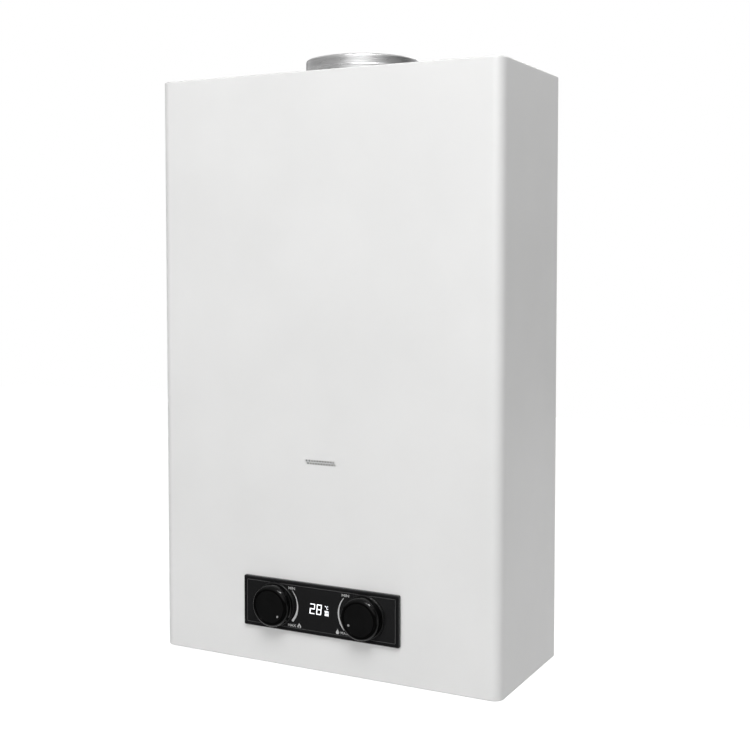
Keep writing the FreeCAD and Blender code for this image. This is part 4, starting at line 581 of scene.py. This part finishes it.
# The grey line round the face's border is a painted highlight: it stands for the light caught by the face's
# bevelled edge.
painted_border_highlight = flat_strip("painted_border_highlight", line_inner, line_outer, True)
clothe(painted_border_highlight, painted_edge_highlight, "heater", "panel_gloss")

sweep = np.linspace(0, 1, 41)
for name, centre, radius, first, last, width in (
        ("gas_scale", (-43.0, -441.9), 20.3, 44, -44, 0.5 + 1.8 * sweep),
        ("water_scale", (41.5, -442.1), -21.3, -42, 44, 0.6 + 0.9 * np.minimum(1, 2 * sweep))):
    angle = np.radians(first + (last - first) * sweep)
    around = np.stack([np.cos(angle), np.sin(angle)], -1)
    scale = flat_strip(name, centre + around * (radius - width / 2)[:, None],
                    centre + around * (radius + width / 2)[:, None])
    clothe(scale, pale_ink, "heater", "panel_gloss")


def word(name, text, left, right, low):
    """Text made a mesh and scaled to reach from left to right, with its foot at low."""
    curve = bpy.data.curves.new(name, "FONT")
    curve.body = text
    curve.offset = letter_weight
    holder = bpy.data.objects.new(name + "_type", curve)
    bpy.context.collection.objects.link(holder)
    bpy.context.view_layer.update()
    mesh = bpy.data.meshes.new_from_object(holder)
    bpy.data.objects.remove(holder)
    places = np.empty(len(mesh.vertices) * 3)
    mesh.vertices.foreach_get("co", places)
    places = places.reshape(-1, 3)
    least, most = places.min(0), places.max(0)
    share = (places - least) / (most - least + (0, 0, 1))
    points = np.stack([left + share[:, 0] * (right - left), 0 * share[:, 0] + mark_front,
                       low + share[:, 1] * letter_tall], -1) * mm
    mesh.vertices.foreach_set("co", points.ravel())
    mesh.update()
    piece = bpy.data.objects.new(name, mesh)
    bpy.context.collection.objects.link(piece)
    return piece


for name, text, left, right, low in (
        ("gas_least", "MIN", -32.4, -25.5, -426.9), ("gas_most", "MAX", -33.0, -24.4, -461.3),
        ("water_least", "MIN", 23.6, 31.0, -426.6), ("water_most", "MAX", 22.4, 30.6, -461.2)):
    clothe(word(name, text, left, right, low), pale_ink, "heater", "panel_gloss")


def drop_outline(centre, half, tall, count=48):
    """A drop: a circle whose upper half is drawn out to a point. At angle t its half width is
    the sine of t times the 2.2th power of the sine of t / 2, brought up to half by 1.45."""
    t = round_angles(count)
    x = centre[0] + half * 1.45 * np.sin(t) * np.abs(np.sin(t / 2)) ** 2.2
    z = centre[1] + tall / 2 * np.cos(t)
    return np.stack([x, z], -1)


drop = drop_outline((19.2, -459.0), 1.9, 5.0)
drop_heart, pin_prick = drop.mean(0), 0.02
water_mark = flat_strip("water_mark", drop_heart + (drop - drop_heart) * pin_prick, drop, True)
clothe(water_mark, pale_ink, "heater", "panel_gloss")
flame_place, flame_core, core_drop = np.array([-21.0, -459.2]), (0.42, 0.62), (0, 0.8)
flame = drop_outline(flame_place, 2.2, 4.6)
flame_mark = flat_strip("flame_mark", (flame - flame_place) * flame_core + flame_place - core_drop, flame, True)
clothe(flame_mark, pale_ink, "heater", "panel_gloss")


# Behind the face a small display shows two lit digits, a degree sign and a steady-flame mark.
# The light shines through the smoked face.
digit_tall, digit_wide, digit_step, stroke, slant = 9.6, 5.2, 7.0, 0.9, 0.1
digits_left, digits_low = -10.1, -446.6
lit_front, lit_step = face_front - 0.04, 0.002
lit_strength = 0.9
bars_lit = {2: (1, 0, 1, 1, 1, 0, 1), 8: (1, 1, 1, 1, 1, 1, 1)}


def lit_bars(digit, left, low):
    """The lit ones of a digit's seven bars as pairs of end points. The bars are the top, the
    upper left, upper right, middle, lower left, lower right and the bottom."""
    x0, x1 = left + stroke / 2, left + digit_wide - stroke / 2
    z0, z2 = low + stroke / 2, low + digit_tall - stroke / 2
    z1 = (z0 + z2) / 2
    ends = [((x0, z2), (x1, z2)), ((x0, z1), (x0, z2)), ((x1, z1), (x1, z2)), ((x0, z1), (x1, z1)),
            ((x0, z0), (x0, z1)), ((x1, z0), (x1, z1)), ((x0, z0), (x1, z0))]
    return [pair for pair, lit in zip(ends, bars_lit[digit]) if lit]


def rounded_bar(start, end, width, count=10):
    """Outline of a bar with half-round ends."""
    start, end = np.array(start), np.array(end)
    along = math.atan2(*(end - start)[::-1])
    half = np.linspace(-math.pi / 2, math.pi / 2, count)
    cap = width / 2 * np.stack([np.cos(along + half), np.sin(along + half)], -1)
    return np.concatenate([end + cap, start - cap])


def lit_shape(name, outlines):
    """Flat shapes side by side in one mesh, each a single face towards the front; they lie a
    hair behind one another so that crossings stay clean."""
    points = [np.insert(outline, 1, lit_front - lit_step * i, axis=1) for i, outline in enumerate(outlines)]
    starts = np.cumsum([0] + [len(p) for p in points[:-1]])
    faces = [(start + np.arange(len(p)))[None] for start, p in zip(starts, points)]
    return finish_mesh(name, np.concatenate(points), faces)


digits_shown = ((2, digits_left), (8, digits_left + digit_step))
upright_bars = [rounded_bar(a, b, stroke) for digit, left in digits_shown
                for a, b in lit_bars(digit, left, digits_low)]
slanted_bars = [bar + np.stack([slant * (bar[:, 1] - digits_low), 0 * bar[:, 1]], -1)
                for bar in upright_bars]
digits = lit_shape("display_digits", slanted_bars)

glow_white = bpy.data.materials.new("lit_white")
nodes, links = open_nodes(glow_white, False)
lit = nodes["Principled BSDF"]
set_inputs(lit, {"Base Color": (0.9, 0.92, 0.95, 1), "Emission Strength": lit_strength})
shade = nodes.new("ShaderNodeMix")
shade.data_type = "RGBA"
set_inputs(shade, {"A": (0.86, 0.9, 0.96, 1), "B": (1, 1, 1, 1)})
where = nodes.new("ShaderNodeTexCoord").outputs["Object"]
links.new(noise(nodes, links, where, 900), shade.inputs["Factor"])
links.new(shade.outputs["Result"], lit.inputs["Emission Color"])

ring = np.linspace(0, 2 * math.pi, 24, endpoint=False)
circle, degree_place = np.stack([np.cos(ring), np.sin(ring)], -1), (6.6, -438.0)
degree = flat_strip("display_degree", circle * 0.3 + degree_place, circle * 0.65 + degree_place, True)
letter_turn = np.radians(np.linspace(50, 310, 24))
letter, letter_place = np.stack([np.cos(letter_turn), np.sin(letter_turn)], -1), (8.8, -439.2)
celsius = flat_strip("display_c", letter * (0.65, 1.1) + letter_place, letter * (1.15, 1.6) + letter_place)
block = np.array([(6.0, digits_low), (9.9, digits_low), (9.9, -444.5), (6.0, -444.5)])
flames = [rounded_bar((x, -443.7), (x - 0.4, -442.3), stroke) for x in (6.7, 8.15, 9.6)]
steady_mark = lit_shape("display_mark", [block, *flames])
for lit_piece in (digits, degree, celsius, steady_mark):
    clothe(lit_piece, glow_white, "heater", "display_window")


# Each knob is a black moulding: a thin flared foot, a gloss side with a round shoulder, and a
# crisp rim round a matt face. A pale dot is pressed into the face as its pointer.
knob_x, knob_sides, pointer_radius, dot_radius, dot_sides = 46.3, 96, 11.8, 1.1, 32
hub_radius, axis_radius, shoulder_radius = 5.0, 0.02, 3.8
foot_rear, foot_front, side_rear, shoulder_depth = -143.6, -145.3, -144.4, -150.8
knob_front, face_bed, disc_rear, disc_edge, disc_front = -154.6, -152.9, -153.3, -153.9, -154.0
foot_profile = np.concatenate([
    [(hub_radius, foot_rear), (20.4, foot_rear)], bend((20.4, -143.85), 0.25, 90, 0, 4),
    bend((20.65, foot_front), 1.1, 90, 180, 8), [(hub_radius, foot_front)]])
knob_profile = np.concatenate([
    [(hub_radius, side_rear), (19.6, side_rear), (19.5, -146.8), (19.4, -148.8)],
    bend((15.4, shoulder_depth), shoulder_radius, 0, -90, 14),
    [(14.95, knob_front), (14.9, -154.55), (14.85, -153.9), (14.7, face_bed), (hub_radius, face_bed)]])
disc_profile = [(axis_radius, disc_rear), (14.7, disc_rear), (14.83, disc_edge), (14.75, disc_front),
                (axis_radius, disc_front)]
dot_profile = [(axis_radius, disc_edge), (dot_radius, disc_edge), (dot_radius, -154.02), (0.9, -154.08),
               (axis_radius, -154.08)]
knob_gloss = surface("knob_gloss", ((0.0015, 0.0015, 0.0015), (0.0025, 0.0025, 0.0025)), (0.12, 0.16),
                     patch=12, grain=1.2, relief=0.002, shine=0.17)
knob_matt = surface("knob_matt", ((0.0025, 0.0025, 0.0026), (0.004, 0.004, 0.0041)), (0.32, 0.42),
                    patch=9, grain=0.35, relief=0.004, shine=0.35)
for side, turn, body, node in ((-1, 45, "gas_knob_unit", "gas_knob"),
                               (1, 60, "water_knob_unit", "water_knob")):
    middle = (side * knob_x, panel_level)
    skirt = turned_piece(node + "_side", knob_profile, knob_sides, middle, "y", 50)
    clothe(skirt, knob_gloss, body, "knob_black", node)
    foot = turned_piece(node + "_foot", foot_profile, knob_sides, middle, "y", 50)
    clothe(foot, knob_matt, body, "knob_black")
    face = turned_piece(node + "_face", disc_profile, knob_sides, middle, "y", 30)
    clothe(face, knob_matt, body, "knob_black")
    pointer = (side * (knob_x - pointer_radius * math.sin(math.radians(turn))),
               panel_level - pointer_radius * math.cos(math.radians(turn)))
    dot = turned_piece(node + "_dot", dot_profile, dot_sides, pointer, "y")
    clothe(dot, dot_ink, body, "knob_black")


# Three brass unions stand under the case: hot water, gas and cold water, each with a half-inch
# thread and a chamfered lock nut that holds it against the bottom bracket.
union_depth, bore, neck_radius, hexagon_wide, hexagon_corner = -70.0, 7.0, 10.2, 25.0, 12.9
pitch, crest, thread_depth, flank, run_out, lead_in = 1.814, 10.48, 1.16, 2.6, 1.2, 0.9
thread_low, thread_high, neck_low, neck_high = -517.4, -505.4, -505.2, -497.6
hexagon_low, chamfer = -497.2, 0.8
nut_low, nut_high, nut_wide, nut_bore = neck_low, -499.2, 27.0, 10.25


def hexagon_radius(angle, wide):
    """The distance from the middle of a hexagon to its edge; wide is its size across flats."""
    return wide / 2 / np.cos((angle + math.pi / 6) % (math.pi / 3) - math.pi / 6)


def standing_piece(name, x, radius, level, sharp):
    """Rings round the upright axis of a union, from their radii by angle and their levels."""
    sides = radius.shape[1]
    angle = round_angles(sides)
    points = np.stack([x + radius * np.cos(angle), union_depth + radius * np.sin(angle),
                       level + 0 * angle], -1)
    return finish_mesh(name, points, [grid_quads(len(points), sides, True, True)], sharp)


def thread_piece(name, x, top, sides=60):
    """A threaded stub: the radius falls from the crest by a V of the thread's depth that
    moves up one pitch in each turn, and fades out at both ends; above it a plain neck, then
    a hexagon, then the inside of the bore closes the surface."""
    angle = round_angles(sides)
    level = np.linspace(thread_low, thread_high, 100)[:, None]
    phase = ((level - thread_low) / pitch - angle / (2 * math.pi)) % 1
    depth = thread_depth * np.clip(1 - abs(phase - 0.5) * flank, 0, 1)
    fade = np.clip((thread_high - level) / run_out, 0, 1)
    start = lead_in * np.clip(1 - (level - thread_low) / lead_in, 0, 1)
    hexagon = hexagon_radius(angle, hexagon_wide)
    chamfered = np.minimum(hexagon, hexagon_corner)
    rings = [chamfered, hexagon, hexagon, chamfered, np.full(sides, bore), np.full(sides, bore)]
    levels = [neck_low, neck_high, hexagon_low, hexagon_low + chamfer, top - chamfer, top, top, thread_low]
    radius = np.concatenate([crest - depth * fade - start, np.full((2, sides), neck_radius), rings])
    return standing_piece(name, x, radius, np.concatenate([level, np.array(levels)[:, None]]), 30)


def hexagon_nut(name, x, sides=72):
    """A hexagon nut whose corners are turned off by a cone at both faces: the radius is the
    smaller of the hexagon's and the cone's."""
    cone_level = np.array([0, 0.35, 0.75, 1.3, 2.0])
    cone = nut_wide / 2 - 0.4 + cone_level[:, None] * 1.75
    upper = np.minimum(hexagon_radius(round_angles(sides), nut_wide), cone)
    wall = np.full((1, sides), nut_bore)
    radius = np.concatenate([wall, upper, upper[::-1], wall])
    level = np.concatenate([[nut_low], nut_low + cone_level, (nut_high - cone_level)[::-1], [nut_high]])
    return standing_piece(name, x, radius, level[:, None], 25)


turned_brass = surface("turned_brass", ((0.56, 0.4, 0.17), (0.47, 0.33, 0.14)), (0.22, 0.36),
                       patch=9, grain=0.25, relief=0.004, stretch=(6, 6, 0.6), metal=1.0)
nut_brass = surface("nut_brass", ((0.6, 0.44, 0.2), (0.52, 0.37, 0.16)), (0.26, 0.4),
                    patch=14, grain=0.5, relief=0.006, stretch=(1, 1, 3), metal=1.0)
for x, top, node in ((-125.0, -473.5, "hot_outlet"), (-46.3, -480.7, "gas_inlet"),
                     (62.0, -480.7, "cold_inlet")):
    clothe(thread_piece(node + "_stub", x, top), turned_brass, "heater", "brass_parts", node)
    clothe(hexagon_nut(node + "_nut", x), nut_brass, "heater", "brass_parts", "lock_nuts")


# The battery lid is a black moulding under the case. Five low ribs near its free edge give the
# thumb a grip to unlatch it.
rib_count, rib_gap, rib_long, rib_wide, rib_high = 5, 3.0, 26.0, 1.8, 0.6
grip_place, rib_points, rib_sides = (124.0, -88.0, -500.0), 25, 9


def grip_ribs():
    """Half-round ribs side by side: across, a half circle; along, the same height until it
    falls off at the ends as the square root of 1 less the eighth power of the distance."""
    along = np.linspace(-1, 1, rib_points)[None, :, None]
    turn = np.linspace(0, math.pi, rib_sides)[None, None, :]
    rib = (np.arange(rib_count) - (rib_count - 1) / 2)[:, None, None] * rib_gap
    full = np.sqrt(np.clip(1 - along ** 8, 0, 1))
    x = grip_place[0] + rib_long / 2 * along + 0 * turn + 0 * rib
    y = grip_place[1] + rib + rib_wide / 2 * np.cos(turn) * full
    z = grip_place[2] - rib_high * np.sin(turn) * full + 0 * rib
    quads = grid_quads(rib_points, rib_sides, turned=True)
    faces = [quads + rib_points * rib_sides * i for i in range(rib_count)]
    return finish_mesh("lid_grip", np.stack([x, y, z], -1), faces)


black_moulding = surface("black_moulding", ((0.012, 0.012, 0.0125), (0.016, 0.016, 0.0165)), (0.42, 0.56),
                         patch=14, grain=0.45, relief=0.02)
clothe(grip_ribs(), black_moulding, "battery_lid_unit", "battery_moulding")


# The parts whose solid already has the real shape keep it and only take their finish: the
# chassis sheets behind and below the case, and the draught hood over the heat exchanger.
def dress(material, *nodes):
    """Give CAD nodes a material in place of the plain one they came with."""
    for node in nodes:
        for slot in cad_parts[node].material_slots:
            slot.material = material


dress(surface("galvanised_sheet", ((0.45, 0.46, 0.475), (0.55, 0.56, 0.57)), (0.3, 0.46),
              patch=6, grain=2.2, relief=0.006, metal=1.0, cells=True),
      "back_plate", "bottom_bracket", "chamber_brackets")
dress(surface("aluminised_hood", ((0.5, 0.51, 0.52), (0.6, 0.61, 0.615)), (0.34, 0.5),
              patch=26, grain=0.8, relief=0.01, stretch=(8, 8, 1), metal=1.0),
      "flue_hood", "hood_baffle", "gas_manifold", "overheat_thermostat", "draught_sensor")


# The heat exchanger is copper: a folded combustion chamber whose lower part the flames have
# dulled, a fin pack, and drawn tubes and pipes that lead the water in and out.
dress(surface("chamber_copper", ((0.42, 0.19, 0.115), (0.56, 0.29, 0.19)), (0.34, 0.55),
              patch=34, grain=1.4, relief=0.015, metal=1.0), "combustion_chamber", "exchanger_caps")
dress(surface("tinned_fins", ((0.5, 0.3, 0.22), (0.6, 0.44, 0.36)), (0.3, 0.45),
              patch=12, grain=0.6, relief=0.006, stretch=(1, 6, 6), metal=1.0), "exchanger_fins")
dress(surface("drawn_copper", ((0.52, 0.25, 0.155), (0.64, 0.34, 0.22)), (0.22, 0.36),
              patch=28, grain=0.5, relief=0.005, stretch=(1, 1, 9), metal=1.0),
      "exchanger_tubes", "feed_pipe", "hot_pipe")
dress(nut_brass, "pipe_unions", "injectors", "drain_plug", "outlet_sensor")
dress(turned_brass, "gas_spindle", "water_spindle", "pushrod")


# Below the chamber stand the stainless burner bars in their pressed frame, with the ceramic
# sleeves of the igniter and the flame sensor in front of them.
dress(surface("burner_steel", ((0.34, 0.31, 0.29), (0.5, 0.48, 0.46)), (0.3, 0.48),
              patch=16, grain=0.7, relief=0.01, stretch=(1, 7, 1), metal=1.0), "burner_bars", "burner_frame")
dress(surface("glazed_ceramic", ((0.74, 0.71, 0.64), (0.8, 0.78, 0.72)), (0.12, 0.2),
              patch=5, grain=1.0, relief=0.004, gloss_coat=0.3), "ignition_electrode", "flame_sensor")


# The gas valve and the water valve are sand-blasted castings; the coil, the microswitch, the
# membrane, the spring and the filter sit on or in them.
dress(surface("blasted_casting", ((0.4, 0.4, 0.405), (0.5, 0.5, 0.5)), (0.45, 0.62),
              patch=10, grain=0.7, relief=0.05, metal=0.9),
      "gas_valve_body", "water_valve_body", "diaphragm_cover")
dress(surface("coil_shell", ((0.018, 0.018, 0.02), (0.03, 0.03, 0.032)), (0.32, 0.45),
              patch=8, grain=0.8, relief=0.012, metal=0.4), "gas_solenoid")
bright_spring = surface("bright_spring", ((0.55, 0.55, 0.56), (0.66, 0.66, 0.67)), (0.18, 0.3),
                        patch=6, grain=0.3, relief=0.003, stretch=(1, 5, 5), metal=1.0)
dress(bright_spring, "switch_lever", "lid_pin", "battery_contact", "lid_contact")
plated_screw = surface("plated_screws", ((0.54, 0.545, 0.56), (0.66, 0.665, 0.67)), (0.2, 0.34),
                       patch=3, grain=0.3, relief=0.004, metal=1.0)
dress(plated_screw, "screws")
dress(surface("switch_case", ((0.013, 0.013, 0.014), (0.02, 0.02, 0.021)), (0.35, 0.48),
              patch=5, grain=0.4, relief=0.01), "microswitch")
membrane = surface("membrane_rubber", ((0.012, 0.012, 0.012), (0.02, 0.02, 0.02)), (0.6, 0.75),
                   patch=8, grain=0.5, relief=0.02)
dress(membrane, "diaphragm")
dress(surface("filter_basket", ((0.56, 0.56, 0.53), (0.66, 0.66, 0.64)), (0.5, 0.65),
              patch=2, grain=0.35, relief=0.04, stretch=(1, 1, 0.5)), "inlet_filter")


# The push rod's return spring is cold-wound steel wire with closed ends. It stands between the
# housing and the rod's plate; the real spring gets shorter as the rod moves, but here it is drawn at one
# length.
wire_radius, spring_turns, end_turns, rod_travel = 0.55, 5, 0.75, 3.0
steps_in_turn, wire_sides = 30, 10


def coil_spring(low, high):
    """A round wire carried along a helix between two corners of a box: the line runs round a
    circle, and moves along x in proportion to the turns, but not in the closed end turns."""
    turns = spring_turns * np.linspace(0, 1, spring_turns * steps_in_turn + 1)
    turn = 2 * math.pi * turns
    outward = np.stack([0 * turn, np.cos(turn), np.sin(turn)], -1)
    middle, reach = (low + high) / 2, (high[1] - low[1]) / 2 - wire_radius
    line = np.array([0, middle[1], middle[2]]) + reach * outward
    climb = np.clip((turns - end_turns) / (spring_turns - 2 * end_turns), 0, 1)
    line[:, 0] = low[0] + wire_radius + (high[0] - low[0] - 2 * wire_radius) * climb
    beside = np.cross(np.gradient(line, axis=0), outward)
    beside /= np.linalg.norm(beside, axis=1)[:, None]
    around = np.linspace(0, 2 * math.pi, wire_sides, endpoint=False)[:, None]
    across = np.cos(around) * outward[:, None] + np.sin(around) * beside[:, None]
    points = line[:, None] + wire_radius * across
    rows = len(points)
    ends = [np.arange(wire_sides)[None, ::-1], np.arange((rows - 1) * wire_sides, rows * wire_sides)[None]]
    return finish_mesh("rod_spring", points, [grid_quads(rows, wire_sides, False, True)] + ends, 50)


spring_low, spring_high = [np.array(corner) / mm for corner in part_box("return_spring")]
spring = coil_spring(spring_low, spring_high)
clothe(spring, bright_spring, "heater", "spring_steel", "return_spring")
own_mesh(spring)


# The electric parts: the display's housing and its board, the pale ignition control, the
# battery compartment, and the leads between them. The two plain cells stand side by side, one
# of each way up, so one shows its flat steel end below and the other its nub.
dress(surface("display_case", ((0.01, 0.01, 0.011), (0.016, 0.016, 0.017)), (0.2, 0.32),
              patch=7, grain=0.8, relief=0.006), "display_module")
dress(surface("solder_mask", ((0.01, 0.075, 0.03), (0.02, 0.125, 0.052)), (0.28, 0.42),
              patch=3, grain=0.5, relief=0.02, cells=True), "display_board")
dress(surface("pale_moulding", ((0.66, 0.66, 0.63), (0.72, 0.72, 0.69)), (0.42, 0.55),
              patch=18, grain=0.5, relief=0.02), "control_box", "control_lid")
dress(black_moulding, "battery_box", "battery_lid")
dress(surface("cell_skin", ((0.035, 0.045, 0.07), (0.05, 0.06, 0.09)), (0.22, 0.34),
              patch=20, grain=0.8, relief=0.004, metal=0.5), "batteries")

cells_low, cells_high = [np.array(corner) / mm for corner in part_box("batteries")]
cell_middle, cell_depth = (cells_low[:2] + cells_high[:2]) / 2
cell_bottom, cell_radius = cells_low[2], (cells_high[1] - cells_low[1]) / 2
cell_shift, nub_radius, nub_height, disc_proud = 17.7, 4.74, 1.5, 0.05
flat_middle = [(axis_radius, cell_bottom - disc_proud)]
nub_middle = [(axis_radius, cell_bottom - 0.04), (4.3, cell_bottom - 0.04), (nub_radius, cell_bottom + 0.3),
              (nub_radius, cell_bottom + nub_height - disc_proud)]
for name, shift, middle, level in (("cell_flat_end", -cell_shift, flat_middle, cell_bottom),
                                   ("cell_nub_end", cell_shift, nub_middle, cell_bottom + nub_height)):
    rim = [(cell_radius - 2.0, level - disc_proud), (cell_radius - 1.6, level - 0.3),
           (cell_radius - 1.0, level - 0.3), (cell_radius - 0.7, level), (axis_radius, level)]
    steel_end = turned_piece(name, middle + rim, 64, (cell_middle + shift, cell_depth), "z", 30)
    clothe(steel_end, plated_screw, "heater", "cell_jacket")

dress(surface("red_silicone", ((0.3, 0.018, 0.012), (0.38, 0.03, 0.02)), (0.5, 0.64),
              patch=9, grain=0.6, relief=0.01), "ignition_lead", "sensor_lead")
dress(surface("dark_leads", ((0.012, 0.012, 0.013), (0.022, 0.022, 0.023)), (0.4, 0.55),
              patch=6, grain=0.5, relief=0.01), "wiring_harness")
